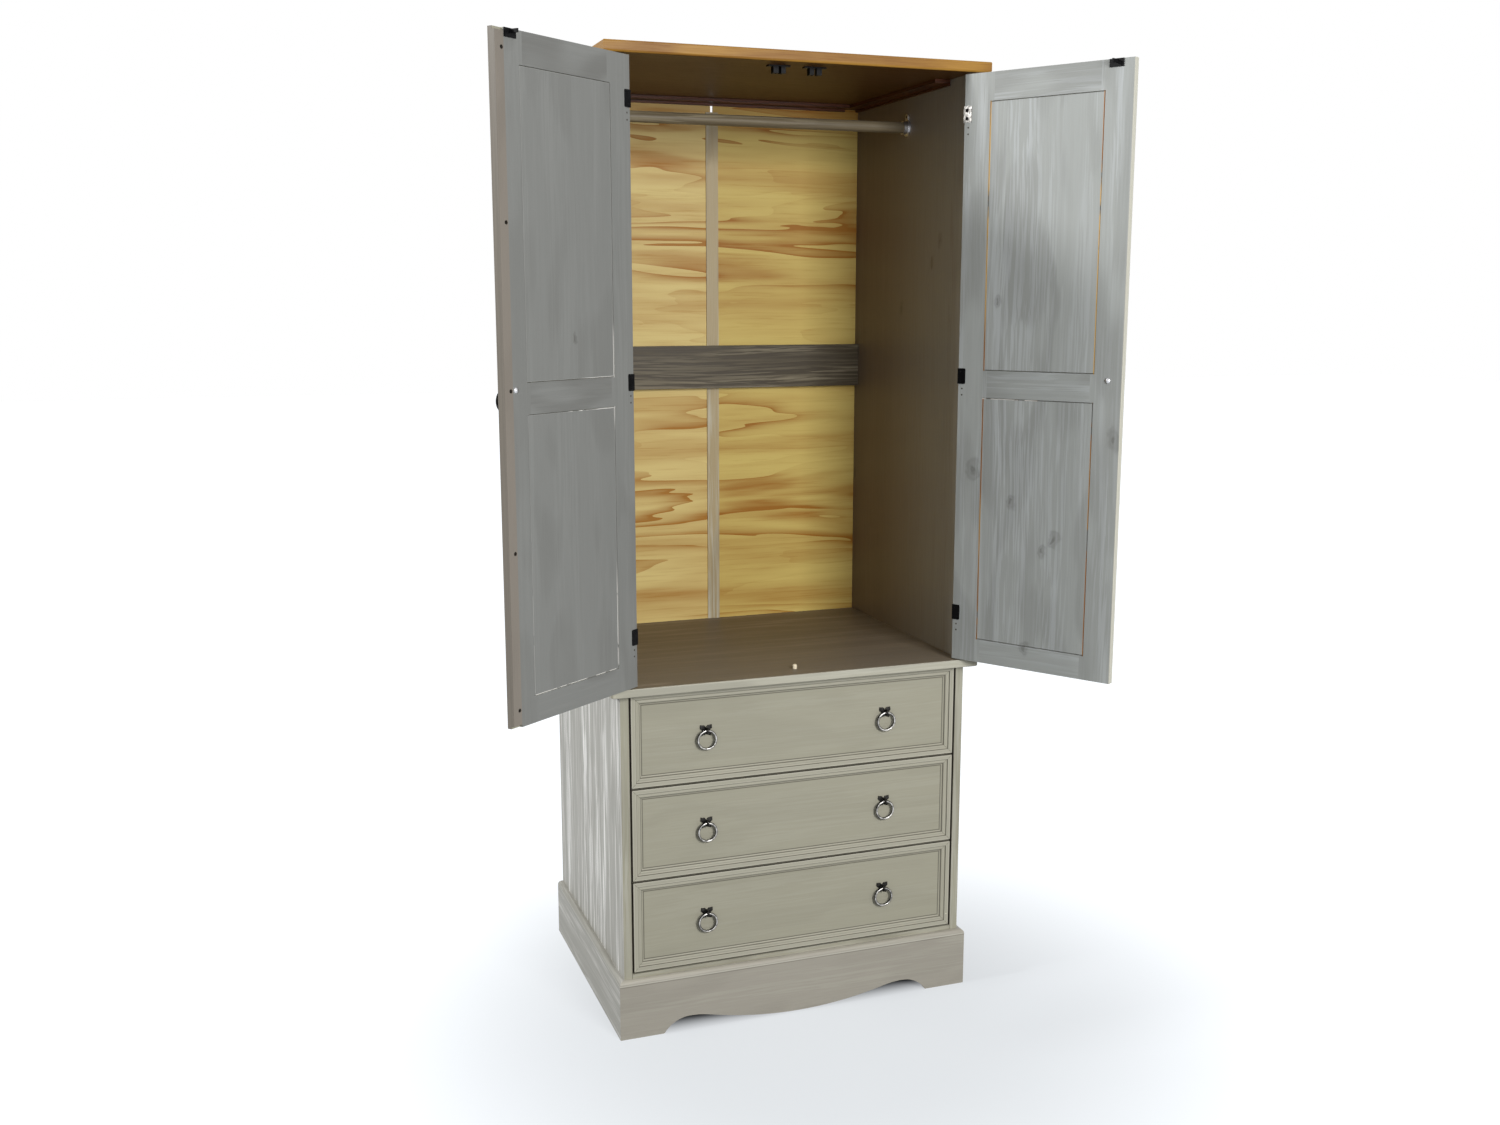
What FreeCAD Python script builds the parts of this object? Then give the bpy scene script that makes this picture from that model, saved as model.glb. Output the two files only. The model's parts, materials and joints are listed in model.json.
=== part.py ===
import FreeCAD, Part
import math
import os

os.makedirs("parts", exist_ok=True)

Vector = FreeCAD.Vector
UP = Vector(0, 0, 1)
BACK = Vector(0, 1, 0)
RIGHT = Vector(1, 0, 0)
ORIGIN = Vector(0, 0, 0)

# All sizes are in millimetres. X runs to the right, Y to the back and Z up.
# The origin lies on the floor under the middle of the rear plinth rail.

# Case
overall_height = 1850.0
case_width = 716.0
case_depth = 532.0
side_thickness = 17.0

# Top board
top_thickness = 20.0
top_side_overhang = 17.0
top_front_overhang = 22.0
top_lower_round = 5.0
top_upper_round = 2.5

# Stepped cleats under the top board
cleat_width = 33.0
cleat_height = 7.0
cleat_foot_width = 6.0
cleat_foot_height = 5.0
cleat_front_setback = 80.0

# Waist board, the floor of the hanging space and the top of the chest
waist_top = 701.0
waist_thickness = 16.0
waist_front_overhang = 26.0
waist_side_overhang = 22.0
waist_corner_round = 10.0
waist_edge_round = 2.0

# Plinth
plinth_height = 118.0
plinth_thickness = 12.0
plinth_top_flat = 4.0
foot_width = 88.0
arch_run = 53.0
arch_height = 28.7
belly_height = 1.5
crown_share = 0.18
rear_rail_thickness = 17.0
rear_rail_drop = 8.0

# Base rail under the lowest drawer
base_rail_reveal = 9.0
base_rail_height = 27.0
base_rail_depth = 40.0

# Back
rebate_width = 8.0
rebate_depth = 10.0
ply_thickness = 4.0
ply_clearance = 0.5
panel_joint_gap = 6.0
strip_flange_width = 27.0
strip_flange_thickness = 2.5
strip_web_clearance = 0.5
strip_cleat_gap = 13.0
back_rail_rise = 519.0
back_rail_height = 92.0
back_rail_thickness = 17.0

# Hanging rail and its sockets
rail_radius = 11.0
rail_setback = 268.0
rail_drop = 71.0
rail_end_clearance = 0.5
socket_clearance = 0.2
socket_wall = 2.3
socket_depth = 12.0
socket_flange_margin = 3.5
socket_flange_thickness = 2.5
socket_ear_margin = 5.0
socket_ear_radius = 6.0

# Doors
door_thickness = 16.0
door_middle_gap = 3.0
door_bottom_gap = 3.0
door_top_gap = 4.0
stile_width = 62.0
top_rail_width = 60.0
middle_rail_width = 68.0
middle_rail_rise = 513.0
bottom_rail_width = 54.0
door_arris_round = 3.0
door_panel_thickness = 6.0
door_panel_setback = 0.5
door_panel_lap = 8.0
door_panel_gap = 1.0
left_open_angle = 143.0
right_open_angle = 122.0

# Beads round the door panels
bead_width = 14.0
bead_height = 7.0
bead_band = 4.0
bead_step = 0.8
bead_fillet_width = 3.0
bead_fillet_height = 2.0

# Meeting strip let into the free edge of the left door
meeting_strip_width = 20.0
meeting_strip_thickness = 6.0
meeting_strip_end_gap = 5.0
meeting_screw_count = 5
meeting_screw_end = 30.0
meeting_screw_inset = 5.0
meeting_screw_sink = 2.5
meeting_screw_length = 9.0

# Lift-off hinges
barrel_radius = 3.0
barrel_gap = 0.5
pin_radius = 1.5
pin_seat_clearance = 0.02
pin_running_clearance = 0.05
leaf_thickness = 1.5
leaf_width = 15.0
leaf_height = 30.0
leaf_corner_round = 2.5
leaf_split_gap = 0.3
leaf_side_gap = 1.0
leaf_screw_inset = 6.0
hinge_from_bottom = 80.0
middle_hinge_rise = 546.0
hinge_from_top = 88.0

# Countersunk screws
screw_head_radius = 3.0
screw_head_height = 1.5
screw_shank_radius = 1.5
screw_length = 12.0
screw_slot_width = 0.8
screw_slot_depth = 0.7
screw_clearance = 0.05

# Roller catches under the top board, and the strikes on the doors
strike_strip_gap = 0.5
strike_width = 27.0
strike_height = 14.0
strike_thickness = 2.0
strike_screw_inset = 4.0
tongue_past_rollers = 6.0
tongue_thickness = 3.2
tongue_height = 6.0
tongue_tip_round = 1.4
catch_strike_gap = 3.0
catch_depth = 14.0
catch_ear_width = 9.0
catch_plate_thickness = 2.5
catch_end_wall = 2.8
catch_block_height = 12.0
catch_wall = 2.0
catch_slot_clearance = 1.0
catch_screw_inset = 4.5
roller_radius = 3.5
roller_clearance = 0.3
roller_pin_radius = 1.0
roller_bore_clearance = 0.05
roller_pin_head_radius = 1.8
roller_pin_head_height = 0.8

# Door stop peg on the waist board
peg_radius = 4.5
peg_height = 9.0
peg_dome_round = 3.5
peg_door_gap = 0.5
peg_dowel_radius = 3.0
peg_dowel_length = 8.0
peg_dowel_clearance = 0.05

# Drawers
drawer_count = 3
drawer_gap = 3.0
drawer_front_thickness = 12.0
drawer_side_thickness = 12.0
drawer_side_drop = 17.0
drawer_box_rise = 20.0
drawer_rear_gap = 23.0
drawer_bottom_thickness = 4.0
drawer_bottom_rise = 8.0
drawer_groove_depth = 5.0
drawer_groove_clearance = 0.1
runner_width = 20.0
runner_height = 15.0
runner_clearance = 0.3
runner_front_gap = 0.5
runner_back_gap = 5.0

# Moulding round the drawer fronts
mould_width = 22.0
mould_height = 7.0
mould_band = 9.0
mould_step = 0.9
mould_fillet_width = 4.0
mould_fillet_height = 2.2
ogee_swell_share = 0.1
toe_swell_share = 0.33

# Ring pulls
ring_radius = 18.0
ring_wire_radius = 2.4
ring_clearance = 0.4
eye_wire_radius = 1.6
eye_plate_gap = 0.5
stud_radius = 2.4
stud_clearance = 0.05
stud_hole_clearance = 0.2
plate_thickness = 2.5
plate_top_half_width = 12.5
plate_bottom_half_width = 9.5
plate_waist_half_width = 5.5
plate_top = 12.5
plate_bottom = 11.5
plate_wing_height = 5.0
plate_notch = 4.5
nut_radius = 5.5
nut_height = 3.4
nut_grip = 2.0
drawer_pull_spacing = 376.0
drawer_pull_rise = 9.0
ring_edge_gap = 6.6
door_pull_rise = 562.0

# Places worked out from the sizes above
half_width = case_width / 2
inner_half = half_width - side_thickness
y_back = rear_rail_thickness / 2
y_front = y_back - case_depth
top_underside = overall_height - top_thickness
waist_underside = waist_top - waist_thickness
base_rail_top = plinth_height + base_rail_reveal
rear_rail_height = plinth_height - rear_rail_drop
plinth_top_round = plinth_thickness - plinth_top_flat
y_ply = y_back - rebate_depth
y_strip = y_ply - strip_flange_thickness
strip_web_thickness = panel_joint_gap - 2 * strip_web_clearance
strip_top = top_underside - cleat_height - cleat_foot_height - strip_cleat_gap
back_rail_bottom = waist_top + back_rail_rise

rail_height = top_underside - rail_drop
rail_bore = rail_radius + socket_clearance
socket_cup_radius = rail_bore + socket_wall
socket_flange_radius = socket_cup_radius + socket_flange_margin
socket_ear_rise = socket_flange_radius + socket_ear_margin

door_hinge_gap = leaf_thickness + leaf_side_gap
door_hinge_edge = -inner_half + door_hinge_gap
door_free_edge = -door_middle_gap / 2
door_inner = y_front + door_thickness
door_bottom = waist_top + door_bottom_gap
door_top = top_underside - door_top_gap
hinge_axis = Vector(-inner_half + door_hinge_gap / 2, y_front - barrel_radius - barrel_gap, 0)
hinge_splits = (door_bottom + hinge_from_bottom, door_bottom + middle_hinge_rise, door_top - hinge_from_top)
leaf_screw_spacing = leaf_height - 2 * leaf_screw_inset

roller_offset = tongue_thickness / 2 + roller_clearance + roller_radius
catch_reach = catch_strike_gap + catch_depth / 2
catch_x = door_free_edge - meeting_strip_width - strike_strip_gap - strike_width / 2
catch_y = door_inner + strike_thickness + catch_reach
catch_plate_bottom = top_underside - catch_plate_thickness
catch_bottom = catch_plate_bottom - catch_block_height
catch_middle = (catch_plate_bottom + catch_bottom) / 2
catch_arm = Vector(catch_x, catch_y, 0) - hinge_axis
catch_block_width = 2 * (roller_offset + roller_radius + roller_clearance + catch_end_wall)
catch_plate_width = catch_block_width + 2 * catch_ear_width
catch_screw_spacing = catch_plate_width - 2 * catch_screw_inset
strike_screw_spacing = strike_width - 2 * strike_screw_inset
tongue_length = catch_reach + tongue_past_rollers

eye_radius = ring_wire_radius + ring_clearance + eye_wire_radius
eye_standoff = plate_thickness + eye_plate_gap + eye_radius + eye_wire_radius
door_pull_x = door_free_edge - ring_radius - ring_wire_radius - ring_edge_gap
door_pull_height = door_bottom + door_pull_rise

drawer_width = 2 * (inner_half - drawer_gap)
drawer_opening = waist_underside - base_rail_top
drawer_height = (drawer_opening - drawer_gap * (drawer_count + 1)) / drawer_count
drawer_face = y_front + mould_height
drawer_inner = drawer_face + drawer_front_thickness
drawer_rear = y_ply - drawer_rear_gap
drawer_side_height = drawer_height - drawer_box_rise - drawer_side_drop

SAME_LENGTH = 1e-6
LEFT_DOOR = "left_door"
RIGHT_DOOR = "right_door"


# Basic shapes

def box(x0, x1, y0, y1, z0, z1):
    """Block between two corners, given in any order."""
    low = Vector(min(x0, x1), min(y0, y1), min(z0, z1))
    return Part.makeBox(abs(x1 - x0), abs(y1 - y0), abs(z1 - z0), low)


def cylinder(radius, start, end):
    """Round bar from one point to another."""
    return Part.makeCylinder(radius, (end - start).Length, start, end - start)


def prism(points, direction):
    """Flat outline pushed along a direction."""
    return Part.Face(Part.makePolygon(points + points[:1])).extrude(direction)


def joined(first, *others):
    """Pieces joined into one clean solid."""
    return first.fuse(list(others)).removeSplitter().Solids[0]


def rounded(shape, radius, chosen):
    """Shape with the edges whose middle passes a test rounded over."""
    return shape.makeFillet(radius, [edge for edge in shape.Edges if chosen(edge.CenterOfMass)])


def near(value, target):
    """True where two lengths agree."""
    return abs(value - target) < SAME_LENGTH


def mirrored(shape):
    """Shape reflected to the other side of the middle plane."""
    return shape.mirror(ORIGIN, RIGHT)


def along(shape, start, direction):
    """Shape made on +Z from the origin, moved to a start and turned to a direction."""
    shape.Placement = FreeCAD.Placement(start, FreeCAD.Rotation(UP, direction))
    return shape


def bulged(a, b, bulge):
    """Arc from a to b that swells to the left of its chord by a bulge."""
    chord = b - a
    side = Vector(0, -chord.z, chord.y).normalize()
    return Part.Arc(a, (a + b) * 0.5 + side * bulge, b).toShape()


def line(a, b):
    """Straight edge from a to b."""
    return Part.LineSegment(a, b).toShape()


def export(name, solids):
    """One file per node, with each solid kept apart."""
    shape = solids[0] if len(solids) == 1 else Part.makeCompound(solids)
    shape.exportStep("parts/" + name + ".step")


# Screws

def screw(head, direction, length=screw_length, clearance=0.0):
    """Countersunk screw, or with a clearance the hole that takes it."""
    profile = [
        Vector(0, 0, 0),
        Vector(screw_head_radius + clearance, 0, 0),
        Vector(screw_shank_radius + clearance, 0, screw_head_height),
        Vector(screw_shank_radius + clearance, 0, length + clearance),
        Vector(0, 0, length + clearance),
    ]
    solid = Part.Face(Part.makePolygon(profile + profile[:1])).revolve(ORIGIN, UP, 360)
    if clearance == 0:
        half = screw_slot_width / 2
        solid = solid.cut(box(-screw_head_radius, screw_head_radius, -half, half, 0, screw_slot_depth))
    return along(solid, head, direction)


def screw_hole(head, direction, length=screw_length):
    """Hole for a countersunk screw."""
    return screw(head, direction, length, screw_clearance)


# Mitred mouldings

def moulding_profile(width, height, band, step, fillet_width, fillet_height):
    """Section of a moulding: flat band, small step, ogee and a quarter bead."""
    ogee_start = Vector(0, -(height - step), band)
    ogee_end = Vector(0, -fillet_height, width - fillet_width)
    ogee_middle = (ogee_start + ogee_end) * 0.5
    swell = (ogee_end - ogee_start).Length * ogee_swell_share
    outer_top = Vector(0, -height, 0)
    band_end = Vector(0, -height, band)
    toe = Vector(0, 0, width)
    edges = [
        line(ORIGIN, outer_top),
        line(outer_top, band_end),
        line(band_end, ogee_start),
        bulged(ogee_start, ogee_middle, -swell),
        bulged(ogee_middle, ogee_end, swell),
        bulged(ogee_end, toe, -fillet_height * toe_swell_share),
        line(toe, ORIGIN),
    ]
    return Part.Face(Part.Wire(edges))


def mitred_frame(x0, x1, z0, z1, y_seat, width, height, profile):
    """Four sticks round the inside of a rectangle, mitred at the corners, standing off towards the front."""
    corners = [(x0, z0), (x1, z0), (x1, z1), (x0, z1)]
    sticks = []
    for number, (x, z) in enumerate(corners):
        length = (x1 - x0) if number % 2 == 0 else (z1 - z0)
        plan = [
            Vector(0, 0, 0),
            Vector(length, 0, 0),
            Vector(length - width, 0, width),
            Vector(width, 0, width),
        ]
        stick = profile.extrude(RIGHT * length).common(prism(plan, BACK * -height)).Solids[0]
        turn = FreeCAD.Rotation(BACK, -90 * number)
        stick.Placement = FreeCAD.Placement(Vector(x, y_seat, z), turn)
        sticks.append(stick)
    return sticks


# Case

def top_board():
    half = half_width + top_side_overhang
    front = y_front - top_front_overhang
    board = box(-half, half, front, y_back, top_underside, overall_height)
    edge = lambda c: near(c.y, front) or near(abs(c.x), half)
    board = rounded(board, top_lower_round, lambda c: near(c.z, top_underside) and edge(c))
    board = rounded(board, top_upper_round, lambda c: near(c.z, overall_height) and edge(c))
    for start, direction in catch_screw_places():
        board = board.cut(screw_hole(start, direction))
    return [board]


def cleat(length):
    """Stepped strip along +Y, its tall side on x = 0 and its top on z = 0."""
    low = -cleat_height - cleat_foot_height
    section = [
        Vector(0, 0, 0),
        Vector(cleat_width, 0, 0),
        Vector(cleat_width, 0, -cleat_height),
        Vector(cleat_foot_width, 0, -cleat_height),
        Vector(cleat_foot_width, 0, low),
        Vector(0, 0, low),
    ]
    return prism(section, BACK * length)


def top_cleats():
    front = y_front + cleat_front_setback
    left = cleat(y_ply - front)
    left.translate(Vector(-inner_half, front, top_underside))
    rear = cleat(2 * (inner_half - cleat_width))
    rear.rotate(ORIGIN, UP, -90)
    rear.translate(Vector(-inner_half + cleat_width, y_ply, top_underside))
    return [left, mirrored(left), rear]


def side_board(z0, z1, rebate_bottom):
    """Left side board with the rebate for the back."""
    board = box(-half_width, -inner_half, y_front, y_back, z0, z1)
    return board.cut(box(-inner_half - rebate_width, -inner_half, y_ply, y_back, rebate_bottom, z1))


def upper_sides():
    left = side_board(waist_top, top_underside, waist_top)
    for start, direction in case_leaf_screw_places() + [socket_screw_place()]:
        left = left.cut(screw_hole(start, direction))
    return [left], [mirrored(left)]


def lower_sides():
    left = side_board(0, waist_underside, rear_rail_height)
    return [left], [mirrored(left)]


def waist_board():
    half = half_width + waist_side_overhang
    front = y_front - waist_front_overhang
    board = box(-half, half, front, y_back, waist_underside, waist_top)
    board = rounded(board, waist_corner_round, lambda c: near(abs(c.x), half) and near(c.y, front))
    flat = lambda c: near(c.z, waist_underside) or near(c.z, waist_top)
    board = rounded(board, waist_edge_round, lambda c: flat(c) and not near(c.y, y_back))
    dowel_end = waist_top - peg_dowel_length - peg_dowel_clearance
    dowel = cylinder(peg_dowel_radius + peg_dowel_clearance, peg_foot(), Vector(0, peg_foot().y, dowel_end))
    return [board.cut(dowel)]


def peg_foot():
    """Middle of the peg where it meets the waist board."""
    return Vector(0, door_inner + peg_door_gap + peg_radius, waist_top)


def door_stop_peg():
    foot = peg_foot()
    head = cylinder(peg_radius, foot, foot + UP * peg_height)
    head = rounded(head, peg_dome_round, lambda c: near(c.z, waist_top + peg_height))
    return [joined(head, cylinder(peg_dowel_radius, foot, foot - UP * peg_dowel_length))]


def back_panels():
    edge = inner_half + rebate_width - ply_clearance
    y1 = y_ply + ply_thickness
    left = box(-edge, -panel_joint_gap / 2, y_ply, y1, waist_top, top_underside)
    chest = box(-edge, edge, y_ply, y1, rear_rail_height, waist_underside)
    return [left, mirrored(left), chest]


def back_joint_strip():
    half = strip_flange_width / 2
    web = strip_web_thickness / 2
    y1 = y_ply + ply_thickness
    front = box(-half, half, y_strip, y_ply, waist_top, strip_top)
    middle = box(-web, web, y_ply, y1, waist_top, strip_top)
    rear = box(-half, half, y1, y1 + strip_flange_thickness, waist_top, strip_top)
    return [joined(front, middle, rear)]


def back_rail():
    top = back_rail_bottom + back_rail_height
    return [box(-inner_half, inner_half, y_strip - back_rail_thickness, y_strip, back_rail_bottom, top)]


def base_rail():
    low = base_rail_top - base_rail_height
    return [box(-inner_half, inner_half, y_front, y_front + base_rail_depth, low, base_rail_top)]


def scallop_edges(end, y):
    """Lower edge of the plinth front, from the right foot to the left one."""
    foot_x = end - foot_width
    peak_x = foot_x - arch_run
    rise = arch_height - belly_height
    turn = 2 * math.atan(rise / peak_x)
    reach = peak_x / math.sin(turn)
    belly_radius = reach * (1 - crown_share)
    crown_radius = reach * crown_share
    outer_radius = (arch_run ** 2 + arch_height ** 2) / (2 * arch_height)
    outer_turn = math.asin(arch_run / outer_radius)
    outer_middle = (peak_x + outer_radius * math.sin(outer_turn / 2),
                    arch_height - outer_radius * (1 - math.cos(outer_turn / 2)))
    crown_middle = (peak_x - crown_radius * math.sin(turn / 2),
                    arch_height - crown_radius * (1 - math.cos(turn / 2)))
    join = (belly_radius * math.sin(turn), belly_height + belly_radius * (1 - math.cos(turn)))
    place = lambda point, sign: Vector(sign * point[0], y, point[1])
    edges = []
    for sign in (1, -1):
        foot, peak = place((foot_x, 0), sign), place((peak_x, arch_height), sign)
        edges.append(Part.Arc(foot, place(outer_middle, sign), peak).toShape())
        edges.append(Part.Arc(peak, place(crown_middle, sign), place(join, sign)).toShape())
    edges.append(Part.Arc(place(join, 1), Vector(0, y, belly_height), place(join, -1)).toShape())
    return edges


def plinth_section():
    """Section of a plinth board: back on y = 0, front towards -Y, front top edge rounded."""
    front = -plinth_thickness
    corner = plinth_height - plinth_top_round
    round_middle = plinth_top_round * (1 - math.cos(math.pi / 4))
    arc = Part.Arc(Vector(0, front, corner),
                   Vector(0, front + round_middle, plinth_height - round_middle),
                   Vector(0, front + plinth_top_round, plinth_height)).toShape()
    edges = [
        line(Vector(0, 0, 0), Vector(0, front, 0)),
        line(Vector(0, front, 0), Vector(0, front, corner)),
        arc,
        line(Vector(0, front + plinth_top_round, plinth_height), Vector(0, 0, plinth_height)),
        line(Vector(0, 0, plinth_height), Vector(0, 0, 0)),
    ]
    return Part.Face(Part.Wire(edges))


def plinth_board(length, left_mitre, right_mitre):
    """Plinth board along +X from the origin, mitred outwards at the chosen ends."""
    reach = plinth_thickness
    start = -reach if left_mitre else 0
    end = length + reach if right_mitre else length
    stick = plinth_section().extrude(RIGHT * (end - start))
    stick.translate(Vector(start, 0, 0))
    plan = [
        Vector(0, 0, 0),
        Vector(start, -reach, 0),
        Vector(end, -reach, 0),
        Vector(length, 0, 0),
    ]
    return stick.common(prism(plan, UP * plinth_height)).Solids[0]


def plinth_front():
    board = plinth_board(case_width, True, True)
    board.translate(Vector(-half_width, y_front, 0))
    end = half_width + plinth_thickness
    front = y_front - plinth_thickness
    edges = scallop_edges(end, front)
    foot = end - foot_width
    edges.append(line(Vector(-foot, front, 0), Vector(foot, front, 0)))
    opening = Part.Face(Part.Wire(Part.sortEdges(edges)[0])).extrude(BACK * plinth_thickness)
    return [board.cut(opening)]


def plinth_returns():
    left = plinth_board(case_depth, False, True)
    left.rotate(ORIGIN, UP, -90)
    left.translate(Vector(-half_width, y_back, 0))
    y0 = y_back - rear_rail_thickness
    rear = box(-inner_half, inner_half, y0, y_back, 0, rear_rail_height)
    return [left, mirrored(left), rear]


# Hanging rail

def socket_screw_place():
    """Head and direction of the screw of the left rail socket."""
    x = -inner_half + socket_flange_thickness
    return Vector(x, y_front + rail_setback, rail_height + socket_ear_rise), RIGHT * -1


def rail_sockets():
    wall = Vector(-inner_half, y_front + rail_setback, rail_height)
    face = wall + RIGHT * socket_flange_thickness
    ear = UP * socket_ear_rise
    cup = cylinder(socket_cup_radius, wall, wall + RIGHT * socket_depth)
    flange = cylinder(socket_flange_radius, wall, face)
    tab = cylinder(socket_ear_radius, wall + ear, face + ear)
    y0, y1 = wall.y - socket_ear_radius, wall.y + socket_ear_radius
    neck = box(wall.x, face.x, y0, y1, wall.z, wall.z + socket_ear_rise)
    bore = cylinder(rail_bore, face, wall + RIGHT * socket_depth)
    left = joined(cup, flange, tab, neck).cut([bore, screw_hole(*socket_screw_place())]).Solids[0]
    return [left, mirrored(left)]


def hanging_rail():
    end = inner_half - socket_flange_thickness - rail_end_clearance
    y = y_front + rail_setback
    return [cylinder(rail_radius, Vector(-end, y, rail_height), Vector(end, y, rail_height))]


# Hinges

def on_axis(z):
    """Point on the left hinge axis at a height."""
    return Vector(hinge_axis.x, hinge_axis.y, z)


def leaf_spans(split):
    """Heights of the case leaf and the door leaf on either side of a split."""
    half = leaf_split_gap / 2
    return (split - leaf_height, split - half), (split + half, split + leaf_height)


def leaf_screw_heights(span):
    middle = (span[0] + span[1]) / 2
    return middle - leaf_screw_spacing / 2, middle + leaf_screw_spacing / 2


def case_leaf_screw_places():
    """Heads and directions of the screws of the left case leaves."""
    x = -inner_half + leaf_thickness
    y = y_front + leaf_width / 2
    heights = [z for split in hinge_splits for z in leaf_screw_heights(leaf_spans(split)[0])]
    return [(Vector(x, y, z), RIGHT * -1) for z in heights]


def door_leaf_screw_places():
    """Heads and directions of the screws of the left door's leaves."""
    x = door_hinge_edge + leaf_width / 2
    y = door_inner + leaf_thickness
    heights = [z for split in hinge_splits for z in leaf_screw_heights(leaf_spans(split)[1])]
    return [(Vector(x, y, z), BACK * -1) for z in heights]


def case_hinge_leaves():
    """Six case leaves, each with the pin that carries a door leaf."""
    solids = []
    for split in hinge_splits:
        (z0, z1), (_, pin_top) = leaf_spans(split)
        barrel = cylinder(barrel_radius, on_axis(z0), on_axis(z1))
        back = y_front + leaf_width
        plate = box(-inner_half, -inner_half + leaf_thickness, hinge_axis.y, back, z0, z1)
        plate = rounded(plate, leaf_corner_round,
                        lambda c: near(c.y, back) and (near(c.z, z0) or near(c.z, z1)))
        seat = cylinder(pin_radius + pin_seat_clearance, on_axis(z0), on_axis(z1))
        leaf = joined(barrel, plate).cut(seat)
        for start, direction in case_leaf_screw_places():
            leaf = leaf.cut(screw_hole(start, direction))
        pin = cylinder(pin_radius, on_axis(z0), on_axis(pin_top))
        solids += [leaf.Solids[0], pin]
    return solids + [mirrored(solid) for solid in solids]


def door_hinge_leaves():
    """Three leaves that wrap the left door's hinge edge, with their screws."""
    solids = []
    x0, x1 = door_hinge_edge - leaf_thickness, door_hinge_edge + leaf_width
    y1 = door_inner + leaf_thickness
    for split in hinge_splits:
        z0, z1 = leaf_spans(split)[1]
        barrel = cylinder(barrel_radius, on_axis(z0), on_axis(z1))
        wrap = box(x0, door_hinge_edge, hinge_axis.y, y1, z0, z1)
        plate = box(x0, x1, door_inner, y1, z0, z1)
        plate = rounded(plate, leaf_corner_round,
                        lambda c: near(c.x, x1) and (near(c.z, z0) or near(c.z, z1)))
        bore = cylinder(pin_radius + pin_running_clearance, on_axis(z0), on_axis(z1))
        leaf = joined(barrel, wrap, plate).cut(bore)
        for start, direction in door_leaf_screw_places():
            leaf = leaf.cut(screw_hole(start, direction))
        solids.append(leaf.Solids[0])
    return solids + [screw(*place) for place in door_leaf_screw_places()]


# Roller catches and strikes

def round_the_hinge(radius, z0, z1):
    """Disc about the left hinge axis."""
    return cylinder(radius, on_axis(z0), on_axis(z1))


def arc_wall(thickness, z0, z1):
    """Thin wall about the left hinge axis, on the path of the strike's tongue."""
    outer = round_the_hinge(catch_arm.Length + thickness / 2, z0, z1)
    return outer.cut(round_the_hinge(catch_arm.Length - thickness / 2, z0, z1))


def roller_place(sign, z):
    """Point on a roller's axis; sign 1 is nearer the middle of the case."""
    spot = hinge_axis + catch_arm * (1 + sign * roller_offset / catch_arm.Length)
    return Vector(spot.x, spot.y, z)


def catch_screw_places():
    """Heads and directions of the screws of both catches."""
    half = catch_screw_spacing / 2
    xs = [side * catch_x + offset for side in (1, -1) for offset in (-half, half)]
    return [(Vector(x, catch_y, catch_plate_bottom), UP) for x in xs]


def catch_housings():
    """Two housings, each with the two pins of its rollers."""
    y0, y1 = catch_y - catch_depth / 2, catch_y + catch_depth / 2
    half_plate, half_block = catch_plate_width / 2, catch_block_width / 2
    plate = box(catch_x - half_plate, catch_x + half_plate, y0, y1, catch_plate_bottom, top_underside)
    block = box(catch_x - half_block, catch_x + half_block, y0, y1, catch_bottom, catch_plate_bottom)
    slot_width = tongue_thickness + 2 * catch_slot_clearance
    block = block.cut(arc_wall(slot_width, catch_bottom, catch_plate_bottom))
    pocket_low, pocket_high = catch_bottom + catch_wall, catch_plate_bottom - catch_wall
    pins = []
    for sign in (1, -1):
        low, high = roller_place(sign, pocket_low), roller_place(sign, pocket_high)
        block = block.cut(cylinder(roller_radius + roller_clearance, low, high))
        foot, head = roller_place(sign, catch_bottom), roller_place(sign, catch_plate_bottom)
        block = block.cut(cylinder(roller_pin_radius + pin_seat_clearance, foot, head))
        rivet = cylinder(roller_pin_head_radius, foot - UP * roller_pin_head_height, foot)
        pins.append(joined(cylinder(roller_pin_radius, foot, head), rivet))
    housing = joined(plate, *block.Solids)
    for start, direction in catch_screw_places():
        housing = housing.cut(screw_hole(start, direction))
    solids = [housing.Solids[0]] + pins
    return solids + [mirrored(solid) for solid in solids]


def catch_roller(sign):
    low = roller_place(sign, catch_bottom + catch_wall + roller_clearance)
    high = roller_place(sign, catch_plate_bottom - catch_wall - roller_clearance)
    bore = cylinder(roller_pin_radius + roller_bore_clearance, low, high)
    return cylinder(roller_radius, low, high).cut(bore).Solids[0]


def strike_screw_places():
    """Heads and directions of the screws of the left strike."""
    y = door_inner + strike_thickness
    z = door_top - strike_height / 2
    half = strike_screw_spacing / 2
    return [(Vector(catch_x + offset, y, z), BACK * -1) for offset in (-half, half)]


def strike():
    """Plate on the left door with the tongue that enters the catch, and its screws."""
    half = strike_width / 2
    y1 = door_inner + strike_thickness
    tip = y1 + tongue_length
    plate = box(catch_x - half, catch_x + half, door_inner, y1, door_top - strike_height, door_top)
    z0, z1 = catch_middle - tongue_height / 2, catch_middle + tongue_height / 2
    reach = box(catch_x - half, catch_x + half, door_inner, tip, z0, z1)
    tongue = arc_wall(tongue_thickness, z0, z1).common(reach).Solids[0]
    tongue = rounded(tongue, tongue_tip_round, lambda c: near(c.y, tip) and near(c.z, catch_middle))
    body = joined(plate, tongue)
    for place in strike_screw_places():
        body = body.cut(screw_hole(*place))
    return [body.Solids[0]] + [screw(*place) for place in strike_screw_places()]


# Ring pulls

def pull_hole(x, z, y0, y1):
    """Hole for a pull's stud through a board."""
    return cylinder(stud_radius + stud_hole_clearance, Vector(x, y0, z), Vector(x, y1, z))


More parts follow.
